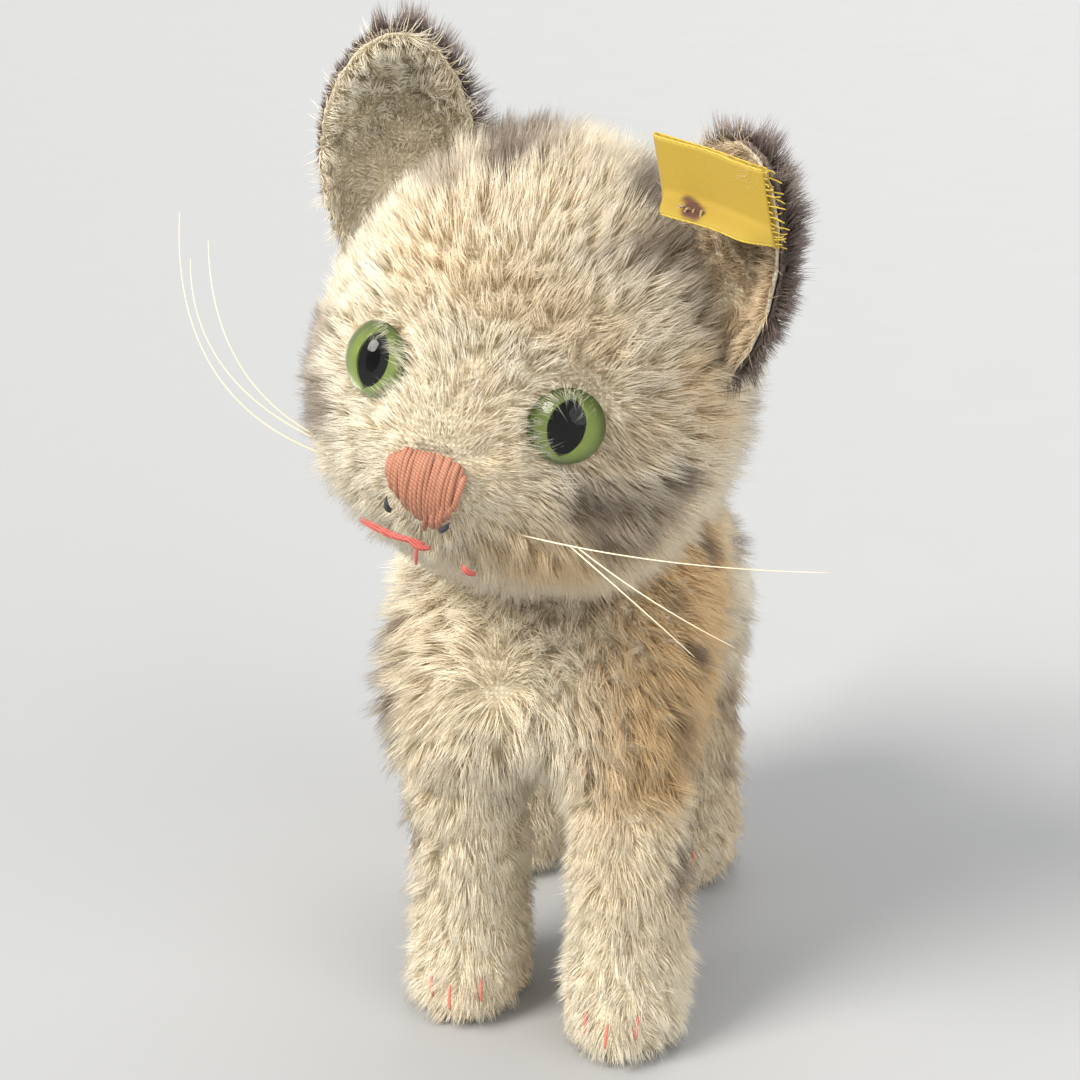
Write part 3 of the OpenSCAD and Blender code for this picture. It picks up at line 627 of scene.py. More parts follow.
looks = {
    "head": pileLook("head pile", colours["creamRoot"], colours["creamTip"], colours["taupe"]),
    "body": pileLook("body pile", colours["bodyRoot"], colours["bodyTip"], colours["taupe"]),
    "earBack": pileLook("ear back pile", (0.15, 0.105, 0.09), (0.40, 0.315, 0.29), colours["brown"]),
    "earLining": pileLook("ear lining pile", (0.98, 0.86, 0.64), (1.0, 0.94, 0.80), (0.20, 0.12, 0.08)),
    "cloth": clothLook("pile backing cloth", colours["cloth"]),
    "darkCloth": clothLook("dark backing cloth", (0.20, 0.14, 0.115)),
    "noseThread": threadLook("salmon thread", (0.46, 0.205, 0.115), (0.28, 0.09, 0.05)),
    "mouthThread": threadLook("coral thread", (0.52, 0.115, 0.085), (0.30, 0.04, 0.03)),
    "blackThread": threadLook("black thread", (0.03, 0.028, 0.03), (0.008, 0.008, 0.008)),
    "clawThread": threadLook("red thread", (0.72, 0.22, 0.15), (0.45, 0.10, 0.07)),
    "linen": threadLook("linen thread", (0.78, 0.72, 0.60), (0.50, 0.44, 0.33)),
    "steel": metalLook("dull steel", (0.50, 0.49, 0.47), 0.3),
    "rivet": metalLook("rusty iron", (0.30, 0.11, 0.05), 0.6, 0.4),
    "wool": woolLook("wood wool"),
    "board": boardLook("pressed board"),
    "glass": glassLook("eye glass"),
    "pupil": pupilLook("pupil enamel"),
    "ribbon": ribbonLook("yellow ribbon"),
    "ribbonEdge": threadLook("ribbon edge", (0.62, 0.44, 0.05), (0.38, 0.25, 0.015)),
    "holeThread": threadLook("rusty thread", (0.42, 0.30, 0.14), (0.10, 0.025, 0.01)),
    "bristle": bristleLook("bristle"),
}
print("materials made")


# the finish of each CAD node that stays, by the end of its name
finishes = {"stuffing": "wool", "neck_gather": "cloth", "gather_thread": "linen", "eye_ties": "linen",
            "neck_disc": "board", "washer": "steel", "neck_pin": "steel", "shank": "steel", "glass": "glass",
            "pupil": "pupil", "tag_rivet": "rivet"}
for node, thing in frame["nodes"].items():
    if node.endswith("iris"):
        look = irisLook(node + " enamel", middleOf(node))
    else:
        look = next((looks[finish] for ending, finish in finishes.items() if node.endswith(ending)), None)
    for slot in thing.material_slots if look else ():
        slot.material = look
    if look and not thing.material_slots:
        thing.data.materials.append(look)


# an oval, slightly domed pupil that lies where the CAD one does
def ovalPupil(side):
    node = f"eye_{side}_pupil"
    points = pointsOf(node)
    middle = points.mean(0)
    ways = np.linalg.svd(points - middle, full_matrices=False)[2]
    spans = [np.abs((points - middle) @ way).max() for way in ways]
    out = ways[2] if ways[2][1] < 0 else -ways[2]
    front = ((points - middle) @ out).max()
    verts, faces, around, steps = [middle + out * front], [], 48, 8
    for k in range(1, steps + 1):
        t = k / steps
        dome = front - (spans[2] * 1.6) * t ** 2
        for j in range(around):
            turn = j * 2 * math.pi / around
            verts.append(middle + out * dome + t * (0.92 * spans[0] * math.cos(turn) * ways[0]
                                                    + 1.0 * spans[1] * math.sin(turn) * ways[1]))
    for j in range(around):
        i = (j + 1) % around
        faces.append((0, 1 + j, 1 + i))
        for k in range(steps - 1):
            a, b = 1 + k * around, 1 + (k + 1) * around
            faces += [(a + j, b + j, b + i), (a + j, b + i, a + i)]
    piece = addObject(f"{node}_oval", meshFrom(f"{node}_oval", verts, faces), looks["pupil"], "head")
    solid = piece.modifiers.new("thick", "SOLIDIFY")
    solid.thickness, solid.offset = 0.1 * mm, -1
    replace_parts(piece, node)


for side in ("left", "right"):
    ovalPupil(side)


bodyNodes = ["body_side_left", "body_side_right", "belly_gusset"]
legNames = ["front_leg_left", "front_leg_right", "hind_leg_left", "hind_leg_right"]
legNodes = [leg + "_cover" for leg in legNames]
headNodes = ["head_side_left", "head_side_right", "head_gusset", "chin_gusset"]
skinPlan = {"voxel": 1.3 * mm, "bodyRounds": 14, "headRounds": 8, "close": 1.8 * mm}

bodyFilling = ["body_stuffing", "tail_stuffing", *[leg + "_stuffing" for leg in legNames]]
bodyMesh = skinOf("body_skin", bodyNodes + legNodes + ["tail_cover"] + bodyFilling, skinPlan["voxel"],
                  skinPlan["bodyRounds"], close=skinPlan["close"])
headMesh = skinOf("head_skin", headNodes + ["head_stuffing"], skinPlan["voxel"], skinPlan["headRounds"])
bodySkin = addObject("body_skin", bodyMesh, looks["cloth"], "body")
headSkin = addObject("head_skin", headMesh, looks["cloth"], "head")
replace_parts(bodySkin, *bodyNodes, *legNodes, "tail_cover")
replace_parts(headSkin, *headNodes)
print("skins", len(bodyMesh.polygons), len(headMesh.polygons))


face = {
    "nose": (0, -41, -11), "noseSize": (5.3, 5.9),
    "parting": (21.5, -27, 7),        # hairs fan out from here beside the left eye
    "crown": 5.9, "cheek": 6.8, "muzzle": 3.0, "flatCheek": 0.42,
}
eyeMiddles = [toHead(middleOf(f"eye_{side}_glass")) for side in ("left", "right")]

headStripes = [
    ((-9, -12, 34), (-11, 4, 36), 4.6, 0.95), ((-4, -12, 35), (-5, 0, 37), 2.4, 0.6),
    ((-21, -10, 28), (-15, -17, 27), 3.2, 0.7), ((13, -7, 34), (12, 5, 36), 3.4, 0.9),
    ((23, -6, 29), (17, -16, 27), 3.0, 0.75), ((17, -17, 27), (12, -22, 25), 2.2, 0.45),
    ((26, -11, 22), (27, -12, 19), 2.2, 0.65), ((21, -26, -8), (27, -19, -13), 4.2, 0.95),
    ((27, -20, -6), (29, -17, -10), 3.0, 0.65), ((31, -16, -4), (31.5, -15, -4.5), 2.4, 1.0),
    ((-29, -22, -1), (-33, -12, -5), 4.2, 1.0), ((-24, -26, -10), (-32, -12, -14), 4.6, 1.0),
    ((-33, -4, 8), (-35, 2, 6), 3.0, 0.6),
    ((-24, -25, -8), (-26, -23, -11), 2.6, 0.5),
    ((24, -24, 1), (25, -21, 8), 2.2, 0.28), ((0, 18, 33), (0, 34, 4), 4.0, 0.75),
]
for side in (1, -1):
    headStripes += [((side * 13, 14, 31), (side * 18, 27, 12), 3.2, 0.7),
                    ((side * 33, 4, 4), (side * 31, 15, -8), 3.6, 0.75),
                    ((side * 27, 20, 3), (side * 24, 27, -8), 3.0, 0.6)]

headTones = [
    ((-12, -27, 16), (6, -28, 17), 5.0, 0.6), ((6, -28, 17), (17, -26, 15), 5.0, 0.6),
    ((4, -32, 4), (8, -33, -4), 4.0, 0.45), ((22, -28, 0), (27, -22, 4), 3.5, 0.5),
    ((27, -14, 10), (31, -8, 3), 4.0, 0.6), ((12, -30, -22), (20, -24, -22), 4.5, 0.6),
    ((-10, -24, 24), (-18, -20, 18), 4.0, 0.35),
]


def headField(root, normal):
    q = toHead(root)
    x, y, z = q.T
    nose = np.array(face["nose"], float)
    fromNose = np.linalg.norm(q - nose, axis=1)
    comb = unit(q - nose)
    comb[:, 2] += 0.25 * smooth(5, 25, z) - 0.35 * smooth(0, 25, -z)
    parting = q - np.array(face["parting"], float)
    near = np.exp(-(np.linalg.norm(parting, axis=1) / 9) ** 2)[:, None]
    comb = comb * (1 - near) + unit(parting) * near * 1.2
    length = face["muzzle"] + (face["crown"] - face["muzzle"]) * smooth(6, 24, fromNose)
    length += (face["cheek"] - face["crown"]) * smooth(12, 28, np.abs(x)) * smooth(10, -10, z)
    lean = 0.35 + 0.45 * smooth(30, 8, fromNose)
    flatCheek = smooth(-14, -28, x) * smooth(6, -6, y)
    length = length * (1 - face["flatCheek"] * flatCheek)
    lean = lean + 0.35 * flatCheek
    length = length * (1 - 0.4 * smooth(-22, -28, z) * smooth(-5, -14, y))    # short below the chin
    keep = np.ones(len(q))
    for middle, outward in zip(eyeMiddles, (1, -1)):
        gap = np.linalg.norm(q - middle, axis=1)
        off = unit(q - middle)
        outer = smooth(-0.55, 0.55, off @ np.array([0.80 * outward, 0, -0.60]))[:, None]
        by = np.exp(-(np.maximum(gap - 5, 0) / 3.2) ** 2)[:, None]
        comb = comb * (1 - 0.8 * by) + off * by * (1.55 * outer - 1.1)
        length = length * (0.72 + 0.28 * smooth(5.5, 12, gap))
        lean = lean + 0.25 * by[:, 0] * outer[:, 0]
        keep = keep * (gap > 5.5)
    # bare under the nose's stitches
    flat = (q - nose) / np.array([face["noseSize"][0], 99, face["noseSize"][1]])
    onNose = (np.abs(flat[:, 0]) ** 2.2 + np.abs(flat[:, 2]) ** 2.2 < 1) & (y < -25)
    keep = keep * ~onNose
    # none where the neck's joint hides the cloth
    neckGap = np.linalg.norm(root - neckPos, axis=1) / mm
    keep = keep * (neckGap > 14.2)
    # marks are laid where the hair shows, part way up its length
    q = q + normal @ headTurn * furPlan["marksAt"] * length[:, None]
    stripe = ballStrokes(q, headStripes) * np.clip(0.95 + 0.35 * patchy(q, 1.6, 3), 0.3, 1.2)
    stripe = np.clip(stripe + 0.10 * np.clip(patchy(q, 6, 5), 0, 1), 0, 1)
    jowl = smooth(-2, -20, q[:, 2]) * smooth(8, 24, q[:, 0])
    warm = np.clip(0.16 * patchy(q, 9, 8) + 0.10 + 0.55 * ballStrokes(q, headTones) + 0.30 * jowl, 0, 0.7)
    deep = 0.75 * ballStrokes(q, [s for s in headStripes if s[3] > 0.84]) * np.clip(patchy(q, 1.2, 4) + 0.3, 0, 1)
    return length, headWay(comb), lean, keep, {"stripe": stripe, "warm": warm, "deep": deep}


# nape 4, crown 0, left cheek 1, right cheek 2, muzzle 3
def splitHead(root):
    x, y, z = toHead(root).T
    return np.where(y > 4, 4, np.where(z > 14, 0, np.where(x > 9, 1, np.where(x < -9, 2, 3))))


headCount = fur("head_fur", headMesh, headField, "head", looks["head"], 11,
                splitHead, density=1.35, radius=0.88, gather=0.34, clump=0.85, spread=0.8)
print("head fur", headCount)


coat = {
    "back": 5.6, "flank": 6.2, "chest": 7.2, "leg": 5.4, "foot": 4.2, "tail": 5.0, "belly": 4.0,    # mm
    "whorl": (-5.6, -38, 64),         # the chest hair fans out from here
}

flankDashes = [(27, -33, 92, 4, -9), (27, -43, 80, 3, -9), (27, -28, 72, 3, -8), (27, -9, 56, 3, -7),
               (27, 7, 73, 3, -8), (27, -14, 90, 3, -10), (27, 4, 95, 3, -9), (27, -4, 72, 3, -9),
               (27, 18, 84, 3, -9), (27, 30, 78, 4, -8), (27, 30, 56, 3, -6), (27, 42, 68, 2, -7)]
bodyStripes = []
for side in (-1, 1):
    for x, y, z, ahead, drop in flankDashes:
        bodyStripes.append(((side * x, y, z), (side * (x - 3), y + ahead, z + drop), 3.0, 0.95))
    bodyStripes += [
        ((side * 29, -22, 41), (side * 27, -35, 34), 4.4, 1.0), ((side * 28, 22, 42), (side * 27, 32, 37), 3.6, 0.9),
        ((side * 27, -28, 25), (side * 25, -34, 23), 2.4, 0.5), ((side * 28, 26, 27), (side * 27, 34, 25), 2.6, 0.6),
    ]
backBands = {"first": 2.0, "apart": 10.5, "wide": 2.5, "dark": 0.85, "spine": 3.2}
bodyStripes += [((-28, -30, 79), (-27, -36, 54), 3.6, 0.95),
                ((-27, -34, 66), (-29, -26, 60), 2.6, 0.7), ((28, -36, 64), (29, -32, 55), 3.2, 0.9)]
tailTop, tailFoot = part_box("tail_cover")[1].z / mm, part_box("tail_cover")[0].z / mm


def bodyField(root, normal):
    p = root / mm
    x, y, z = p.T
    leg = smooth(50, 38, z)
    front = smooth(-5, -15, y)
    chest = smooth(-24, -34, y) * smooth(46, 54, z)
    under = smooth(-0.4, -0.8, normal[:, 2])
    tail = smooth(44, 48, y) * smooth(70, 76, z) * (np.abs(x) < 9)
    aside = 0.10 * np.sign(x) * np.minimum(np.abs(x) / 10, 1)
    comb = np.stack([aside, np.full(len(x), 0.42), np.full(len(x), -1.0)], 1)
    comb[:, 1] += 0.5 * smooth(90, 108, z)
    comb[:, 1] = comb[:, 1] * (1 - 0.9 * leg) * (1 - 0.8 * chest)
    whorl = p - np.array(coat["whorl"], float)
    near = (chest * np.exp(-(np.linalg.norm(whorl, axis=1) / 16) ** 2))[:, None]
    comb = comb * (1 - near) + (unit(whorl) + np.array([0, 0, -0.35])) * near
    comb = comb * (1 - tail[:, None]) + np.array([0, 0.35, 1.0]) * tail[:, None]
    length = coat["flank"] + (coat["back"] - coat["flank"]) * smooth(88, 104, z)
    for part, share in (("chest", chest), ("leg", leg), ("foot", smooth(16, 5, z) * leg),
                        ("belly", under * (1 - leg)), ("tail", tail)):
        length += (coat[part] - length) * share
    length *= 1 - 0.72 * smooth(3.0, 0.8, z)                     # short at the soles
    length *= 1 - 0.4 * smooth(12, 4, np.abs(x)) * leg           # and between the legs
    lean = np.full(len(x), 0.62) + 0.18 * leg + 0.2 * tail - 0.12 * chest
    neckGap = np.linalg.norm(root - neckPos, axis=1) / mm
    keep = np.where((neckGap < 14.0) | (under * leg * (z < 1.5) > 0.5), 0.0, 1.0)
    keep = keep * (1 - 0.45 * under * (1 - leg))
    p = p + normal * furPlan["marksAt"] * length[:, None]
    rings = np.clip(np.sin((z - tailFoot) / (tailTop - tailFoot) * 6 * math.pi) * 1.3, 0, 1) * tail
    over = smooth(0.05, 0.5, normal[:, 2]) * smooth(62, 74, z) * smooth(-6, -1, y) * (1 - tail)
    phase = (p[:, 1] + 0.22 * np.abs(p[:, 0]) + 1.6 * patchy(p, 5, 16) - backBands["first"]) / backBands["apart"]
    off = np.abs(phase - np.round(phase)) * backBands["apart"]
    bands = backBands["dark"] * (1 - smooth(0.5, 1.5, off / backBands["wide"])) * over
    bands = np.maximum(bands, 0.8 * (1 - smooth(0.5, 1.4, np.abs(p[:, 0]) / backBands["spine"])) * over)
    stripe = np.maximum(strokes(p, bodyStripes), bands) * (1 - tail)
    stripe = stripe * np.clip(0.8 + 0.5 * patchy(p, 1.8, 13), 0.15, 1.2)
    stripe = np.clip(np.maximum(stripe, 0.8 * rings) + 0.08 * np.clip(patchy(p, 6, 15), 0, 1), 0, 1)
    gold = smooth(4, 24, x) * smooth(8, -22, y) * smooth(40, 52, z) * 1.1 + smooth(8, 34, y) * smooth(60, 40, z) * 0.3
    warm = np.clip(gold + 0.16 * patchy(p, 9, 18) + 0.14, 0, 0.95)
    deep = 0.85 * strokes(p, [s for s in bodyStripes if s[3] > 0.79]) * np.clip(patchy(p, 1.4, 14) + 0.2, 0, 1)
    return length, comb, lean, keep, {"stripe": stripe, "warm": warm, "deep": deep}


def splitBody(root):
    p = root / mm
    x, y, z = p.T
    return np.where(z < 45, np.where(y < 0, 0, 2) + (x > 0), np.where(y < -15, 4, np.where(y < 15, 5, 6)) + 3 * (x > 0))


bodyCount = fur("body_fur", bodyMesh, bodyField, "body", looks["body"], 21,
                splitBody, density=1.0)
print("body fur", bodyCount)


earPlan = {
    "voxel": 0.55 * mm, "rounds": 2,
    "fringe": 4.4, "lining": 3.1,     # mm of hair
    "density": 2.2,                   # times the plain one
    "reach": 17, "foot": 6,           # mm to the rim, and from the middle down to where the hair fans out
    "spots": [(-19, -12, 44), (-12, -9, 40), (36, -9, 30), (39, -8, 20), (38, -12, 38)],
}


def earField(partner, isBack, middle):
    tree = surfaceTree(frame["nodes"][partner].data)

    def field(root, normal):
        away = np.empty(len(root))
        for k, (place, way) in enumerate(zip(root, normal)):
            near, _, _, gap = tree.find_nearest(Vector(place))
            away[k] = -(np.array(near) - place) @ way / max(gap, 1e-6)
        q = toHead(root)
        rim = np.clip(np.linalg.norm(q - middle, axis=1) / earPlan["reach"], 0, 1.3)
        comb = unit(q - middle)
        n = len(root)
        if isBack:
            length = earPlan["fringe"] * (0.72 + 0.28 * rim)
            if middle[0] < 0:
                length = length * (0.3 + 0.7 * smooth(-9, 1, q[:, 0] - middle[0]))
            keep = np.where(away > -0.35, 1.0, 0.0)
            lean = np.full(n, 0.45) + 0.3 * smooth(0.8, 0.2, np.abs(away))
            stripe = np.clip(0.35 + 0.4 * patchy(q, 3, 31), 0, 1)
            deep = np.clip(0.5 * patchy(q, 2, 32) + 0.1, 0, 0.8)
            warm = np.zeros(n)
        else:
            length = earPlan["lining"] * (0.75 + 0.45 * rim)
            keep = np.where(away > 0.25, 1.0, 0.0)
            lean = np.full(n, 0.42)
            spots = strokes(q, [(s, s, 2.4, 0.8) for s in earPlan["spots"]])
            worn = np.clip(0.7 + 0.6 * patchy(q, 1.2, 33), 0, 1.2)
            # the spots are marks; the flat stripe + 0.28 and warm 0.6 on the left lining alone are painted shade, not a
            # browner cloth
            stripe = np.clip(spots * worn + (0.28 if middle[0] > 0 else 0), 0, 1)    # the left lining is darker and browner all over: painted shade of its cupped inside
            deep = 0.4 * stripe
            warm = np.clip((0.6 if middle[0] > 0 else 0.0) + 0.2 * patchy(q, 5, 34), 0, 0.7)
        return length, headWay(comb), lean, keep, {"stripe": stripe, "warm": warm, "deep": deep}
    return field


for side, seed in (("left", 41), ("right", 51)):
    liningNode, backNode = f"ear_{side}_lining", f"ear_{side}_back"
    earMiddle = toHead(pointsOf(liningNode)).mean(0)
    earMiddle[2] -= earPlan["foot"]
    for node, partner, isBack in ((backNode, liningNode, True), (liningNode, backNode, False)):
        mesh = skinOf(node + "_cloth", [node], earPlan["voxel"], earPlan["rounds"], earPlan["voxel"])
        look = looks["darkCloth"] if isBack else looks["cloth"]
        slot = "dark_mohair_pile" if isBack else "ear_lining"
        piece = addObject(node + "_cloth", mesh, look, "head")
        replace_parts(piece, node)
        made = fur(node + "_fur", mesh, earField(partner, isBack, earMiddle), "head",
                   looks["earBack" if isBack else "earLining"], seed + isBack, density=earPlan["density"], radius=0.9,
                   gather=0.3)
        print(node, made)


stitching = {
    # the nose seen from ahead: across, its top and its foot, in mm
    "outline": [(-6.2, -8.4, -11.4), (-4.8, -6.6, -13.8), (-3.0, -5.7, -15.2), (-1.0, -5.2, -16.6), (1.0, -4.8, -17.9),
                (2.4, -4.7, -18.2), (4.0, -4.8, -17.0), (5.6, -5.7, -14.8), (6.6, -7.4, -12.4)],
    "span": (-5.9, 6.2), "threads": 20, "thick": 0.46, "proud": 0.9,
    "mouth": [((-8.4, -38.3, -19.7), (-3.5, -40.7, -19.3), (1.2, -40.7, -18.9), 0.42),
              ((-3.5, -40.0, -19.7), (-0.5, -41.2, -18.8), (3.4, -40.3, -18.7), 0.35),
              ((1.0, -40.7, -18.6), (2.4, -41.5, -19.6), (4.4, -40.2, -19.0), 0.40),
              ((2.3, -40.6, -18.6), (2.7, -41.2, -20.4), (2.8, -40.2, -22.2), 0.45),
              ((9.4, -38.6, -20.6), (10.4, -39.6, -21.0), (11.6, -37.9, -21.4), 0.4)],
    "nostrils": [((-4.6, -39.4, -14.4), (-4.2, -40.8, -15.2), (-3.4, -39.4, -16.0), 0.5),
                 ((6.0, -38.8, -15.0), (5.4, -40.2, -15.8), (4.6, -38.8, -16.2), 0.5)],
}
noseTree = surfaceTree(frame["nodes"]["nose_embroidery"].data)


def onNose(x, z, lift):
    start = Vector(fromHead((x, -70, z)))
    hit = noseTree.ray_cast(start, Vector(headWay((0, 1, 0))))
    if hit[0] is None:
        near = noseTree.find_nearest(Vector(fromHead((x, -40, z))))[0]
        place = toHead(np.array(near))
        return fromHead((x, place[1] - lift, z))
    return np.array(hit[0]) + headWay((0, -lift, 0)) * mm


def spanned(row, x):
    table = np.array(stitching["outline"])
    return np.interp(x, table[:, 0], table[:, row])


rng = np.random.default_rng(5)
parts = []
for k, x in enumerate(np.linspace(*stitching["span"], stitching["threads"])):
    top, foot = spanned(1, x), spanned(2, x)
    path, slip, rise = [], rng.normal() * 0.2, rng.random() * 0.3
    top, foot = top + rng.normal() * 0.1, foot + rng.normal() * 0.35
    for t in np.linspace(0, 1, 9):
        z = top + (foot - top) * t
        bow = math.sin(math.pi * t)
        side = x + (2.0 - x) * 0.12 * t ** 2 + 0.12 * math.sin(5 * t + k)
        lift = -0.35 + stitching["proud"] * bow ** 0.5 + rise + 0.12 * rng.random()
        path.append(onNose(side + slip * (t - 0.5), z, lift))
    thick = stitching["thick"] * rng.uniform(0.85, 1.2) * mm
    parts.append(tube(path, thick * np.array([0.8, 1, 1, 1, 1, 1, 1, 1, 0.7]), 8))
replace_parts(threadPiece("nose_threads", parts, "noseThread"), "nose_embroidery")


# rows of stitches, each (start, control, end, width) in mm, laid as several strands side by side
def stitched(name, rows, look, node, strands=3, thick=0.24, body="head", way=fromHead):
    parts = []
    for *row, wide in rows:
        start, control, end = (np.array(place, float) for place in row)
        for k in range(strands):
            off = np.array([0, 0, (k - (strands - 1) / 2) * wide * 0.8])
            path = curveThrough(start + off, control + off * 1.2, end + off * 0.5, 9)
            path[:, 1] -= 0.15 * (k % 2)
            thin = thick * mm * np.interp(np.linspace(0, 1, 9), [0, 0.3, 0.85, 1], [0.35, 1, 1, 0.6])
            parts.append(tube(way(path), thin, 7))
    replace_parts(threadPiece(name, parts, look, body), node)


stitched("mouth_threads", stitching["mouth"], "mouthThread", "mouth_stitches")
stitched("nostril_threads", stitching["nostrils"], "blackThread", "nostril_stitches")

clawPlan = {"lift": -2.2, "midLift": 4.9, "long": 4.2, "thick": 0.28, "wide": 0.32, "inset": 0.7}    # in mm
for paw in legNames:
    node = paw.replace("_leg", "") + "_claws"
    points = pointsOf(node) / mm
    low, high = points.min(0), points.max(0)
    rows = []
    for k, x in enumerate(np.linspace(low[0] + clawPlan["inset"], high[0] - clawPlan["inset"], 3)):
        y = low[1] + 0.4 - clawPlan["lift"] - clawPlan["midLift"] * (k == 1)
        z = low[2] + 1.2 + 0.6 * (k == 1)
        rows.append(((x, y + 1.6, z + clawPlan["long"]), (x, y - 0.6, z + 3.6), (x * 0.985, y + 0.4, z),
                     clawPlan["wide"]))
    stitched(node + "_threads", rows, "clawThread", node, 2, clawPlan["thick"], "body",
             lambda path: path * mm)
print("threads made")


whiskerPlan = {
    "left": [((15.1, -31.5, -17.7), (38, -34.0, -11.5), (60.8, -26.2, -5.5)),
             ((23.8, -27.9, -17.5), (38, -33.0, -18.0), (51.0, -27.3, -21.9)),
             ((22.8, -28.2, -17.7), (36, -33.5, -18.4), (46.1, -31.0, -24.1))],
    "right": [((-21.7, -30.2, -17.5), (-45, -35.0, -14.0), (-55.6, -22.6, 11.4)),
              ((-24.8, -29.4, -15.1), (-40, -33.0, -9.0), (-50.2, -21.7, 8.2)),
              ((-24.0, -29.8, -15.6), (-43, -34.0, -10.0), (-50.9, -25.3, 5.6))],
    "thick": 0.15,      # mm, at the root
    "root": 0.93,       # how far in towards the head's middle they are set
}
for side in ("left", "right"):
    parts = []
    for start, control, end in whiskerPlan[side]:
        path = curveThrough(np.array(start) * whiskerPlan["root"], np.array(control), np.array(end), 24)
        parts.append(tube(fromHead(path), whiskerPlan["thick"] * mm * np.linspace(1, 0.35, 24), 6))
    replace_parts(threadPiece(f"whisker_bristles_{side}", parts, "bristle"), f"whiskers_{side}")
print("whiskers made")


ribbonPlan = {
    "width": 11.0, "length": 38.0, "thick": 0.24,
    "topLeft": (14.5, -16.2, 45.9), "topRight": (32.9, -18.8, 46.6), "bottomLeft": (19.1, -16.2, 36.6),
    "gap": 1.5, "curl": 3.4, "slant": 0.42,
    "hole": (0.34, 0.84), "rustEdge": (1.1, 2.1), "ragged": (0.45, 0.5, 61),    # how much, at what size, seed
}


def ribbonPoint(along, across):
    topLeft, topRight, bottomLeft = (np.array(ribbonPlan[k], float) for k in ("topLeft", "topRight", "bottomLeft"))
    ahead = unit(topLeft - topRight)
    down = unit(bottomLeft - topLeft - ahead * ((bottomLeft - topLeft) @ ahead))
    out = unit(np.cross(ahead, down))
    if out[1] > 0:
        out = -out
    radius = ribbonPlan["gap"] / 2
    half = (ribbonPlan["length"] - math.pi * radius) / 2
    if along < half:
        run, depth = along, 0.0
    elif along < half + math.pi * radius:
        turn = (along - half) / radius
        run, depth = half + radius * math.sin(turn), -radius * (1 - math.cos(turn))
    else:
        run, depth = half - (along - half - math.pi * radius), -2 * radius
    lip = smooth(7.0, 11.0, across) * (1 if along < half else 0.25)
    wave = 0.55 * math.sin(run * 0.42 + 0.6) * (1 if along < half else 0.5)
    place = topRight + ahead * run + down * (across - 1.1 * lip) + out * (depth + wave)
    return place + out * ribbonPlan["curl"] * lip * smooth(-2, 5, run) - ahead * ribbonPlan["slant"] * across


cols, rowsAcross = 96, 28
grid = np.array([[ribbonPoint(a, b) for b in np.linspace(0, ribbonPlan["width"], rowsAcross)]
                 for a in np.linspace(0, ribbonPlan["length"], cols)])
points = fromHead(grid.reshape(-1, 3))
quads = [(i * rowsAcross + j, (i + 1) * rowsAcross + j, (i + 1) * rowsAcross + j + 1, i * rowsAcross + j + 1)
         for i in range(cols - 1) for j in range(rowsAcross - 1)]
along, across = (g.ravel() for g in np.meshgrid(np.linspace(0, 1, cols), np.linspace(0, 1, rowsAcross), indexing="ij"))
holeAlong, holeAcross = ribbonPlan["hole"]
hole = np.hypot((along - holeAlong) * ribbonPlan["length"], (across - holeAcross) * ribbonPlan["width"])
much, size, seed = ribbonPlan["ragged"]
rust = 1 - smooth(*ribbonPlan["rustEdge"], hole + much * patchy(grid.reshape(-1, 3), size, seed))
ribbonMesh = meshFrom("ear_ribbon", points, quads, {"across": across, "down": along, "rust": rust})
ribbon = addObject("ear_ribbon", ribbonMesh, looks["ribbon"], "head")
thicken = ribbon.modifiers.new("thick", "SOLIDIFY")
thicken.thickness, thicken.offset = ribbonPlan["thick"] * mm, 0
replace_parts(ribbon, "ear_tag")
frayed = []
for end, count in ((0.0, 15), (ribbonPlan["length"], 12)):
    for k, across in enumerate(np.linspace(0.2, ribbonPlan["width"] - 0.2, count)):
        start = ribbonPoint(end, across)
        ahead = unit(start - ribbonPoint(abs(end - 0.6), across))
        far = start + ahead * rng.uniform(0.6, 1.9) + rng.normal(size=3) * 0.32
        bend = start + ahead * 0.8 + rng.normal(size=3) * 0.15
        frayed.append(tube(fromHead(curveThrough(start - ahead * 0.3, bend, far, 7)), 0.10 * mm, 5))
for across in (0.0, ribbonPlan["width"]):    # the woven edges of the ribbon
    edge = [ribbonPoint(a, across) for a in np.linspace(0.1, ribbonPlan["length"] - 0.1, 90)]
    frayed.append(tube(fromHead(edge), 0.17 * mm, 6))
threadPiece("ribbon_edge_threads", frayed, "ribbonEdge")
holeAt = ribbonPoint(holeAlong * ribbonPlan["length"], holeAcross * ribbonPlan["width"])
loops = []
for k in range(4):
    start = holeAt + rng.normal(size=3) * 0.5 + np.array([0.8 * k - 1.2, 0.4, -0.6])
    top = holeAt + np.array([0.9 * k - 1.6, -1.3, 1.6]) + rng.normal(size=3) * 0.3
    end = holeAt + np.array([-2.4 + 1.7 * k, -0.2, -1.8]) + rng.normal(size=3) * 0.4
    loops.append(tube(fromHead(curveThrough(start, top, end, 12)), (0.2 if k else 0.3) * mm, 6))
threadPiece("ribbon_hole_threads", loops, "holeThread")
print("ribbon made")


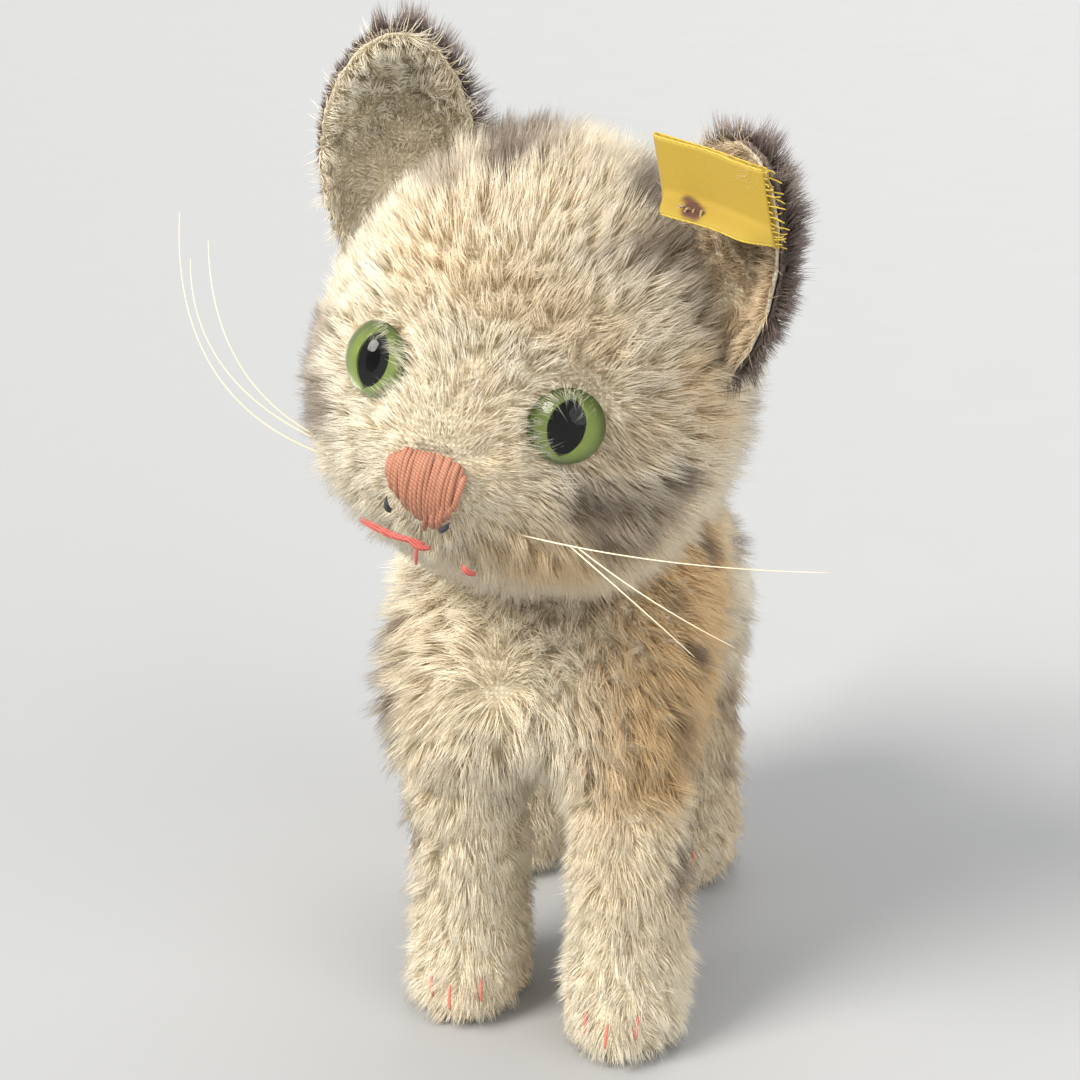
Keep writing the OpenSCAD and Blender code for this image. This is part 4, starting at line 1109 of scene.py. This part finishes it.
studio = {
    "floor": (0.385, 0.385, 0.38), "grain": 35, "floorRadius": 6,
    "world": (0.78, 0.80, 0.83), "worldPower": 0.82,
    "aim": (0, -0.01, 0.09), "camera": (0.0800, -0.4057, 0.226), "azimuth": 12, "pitch": 19.5, "lens": 80,
    "lights": [((-0.62, -0.62, 0.85), 28, 4.3, (1.0, 0.975, 0.94)), ((0.75, -0.55, 0.55), 50, 1.35, (0.97, 0.98, 1.0)),
               ((0.15, 0.85, 0.85), 50, 1.0, (1.0, 0.99, 0.97))],   # from, softness in degrees, power, tint
}
floorMesh = bpy.data.meshes.new("floor")
bm = bmesh.new()
bmesh.ops.create_circle(bm, cap_ends=True, segments=96, radius=studio["floorRadius"])
bm.to_mesh(floorMesh)
bm.free()
floor = bpy.data.objects.new("floor", floorMesh)
bpy.context.collection.objects.link(floor)
floorLook = Look("pale floor")
grain = floorLook.noise(studio["grain"], 3)
floorMesh.materials.append(floorLook.shade({
    "Base Color": floorLook.mixed(grain * 0.25, studio["floor"], [c * 0.95 for c in studio["floor"]]),
    "Roughness": 0.6 + 0.1 * grain}))

world = bpy.data.worlds.new("studio")
world.use_nodes = True
sky = world.node_tree.nodes["Background"]
sky.inputs["Color"].default_value = (*studio["world"], 1)
sky.inputs["Strength"].default_value = studio["worldPower"]
bpy.context.scene.world = world

for k, (place, softness, power, tint) in enumerate(studio["lights"]):
    lamp = bpy.data.lights.new(f"soft_light_{k + 1}", "SUN")
    lamp.angle, lamp.energy, lamp.color = math.radians(softness), power, tint
    holder = bpy.data.objects.new(lamp.name, lamp)
    holder.location = place
    holder.rotation_euler = (Vector(studio["aim"]) - Vector(place)).to_track_quat("-Z", "Y").to_euler()
    holder.visible_camera = False
    bpy.context.collection.objects.link(holder)

lens = bpy.data.cameras.new("camera")
lens.lens, lens.sensor_width = studio["lens"], 36
camera = bpy.data.objects.new("camera", lens)
camera.location = studio["camera"]
camera.rotation_euler = (math.radians(90 - studio["pitch"]), 0, math.radians(studio["azimuth"]))
bpy.context.collection.objects.link(camera)
bpy.context.scene.camera = camera
bpy.context.scene.view_settings.view_transform = "Standard"
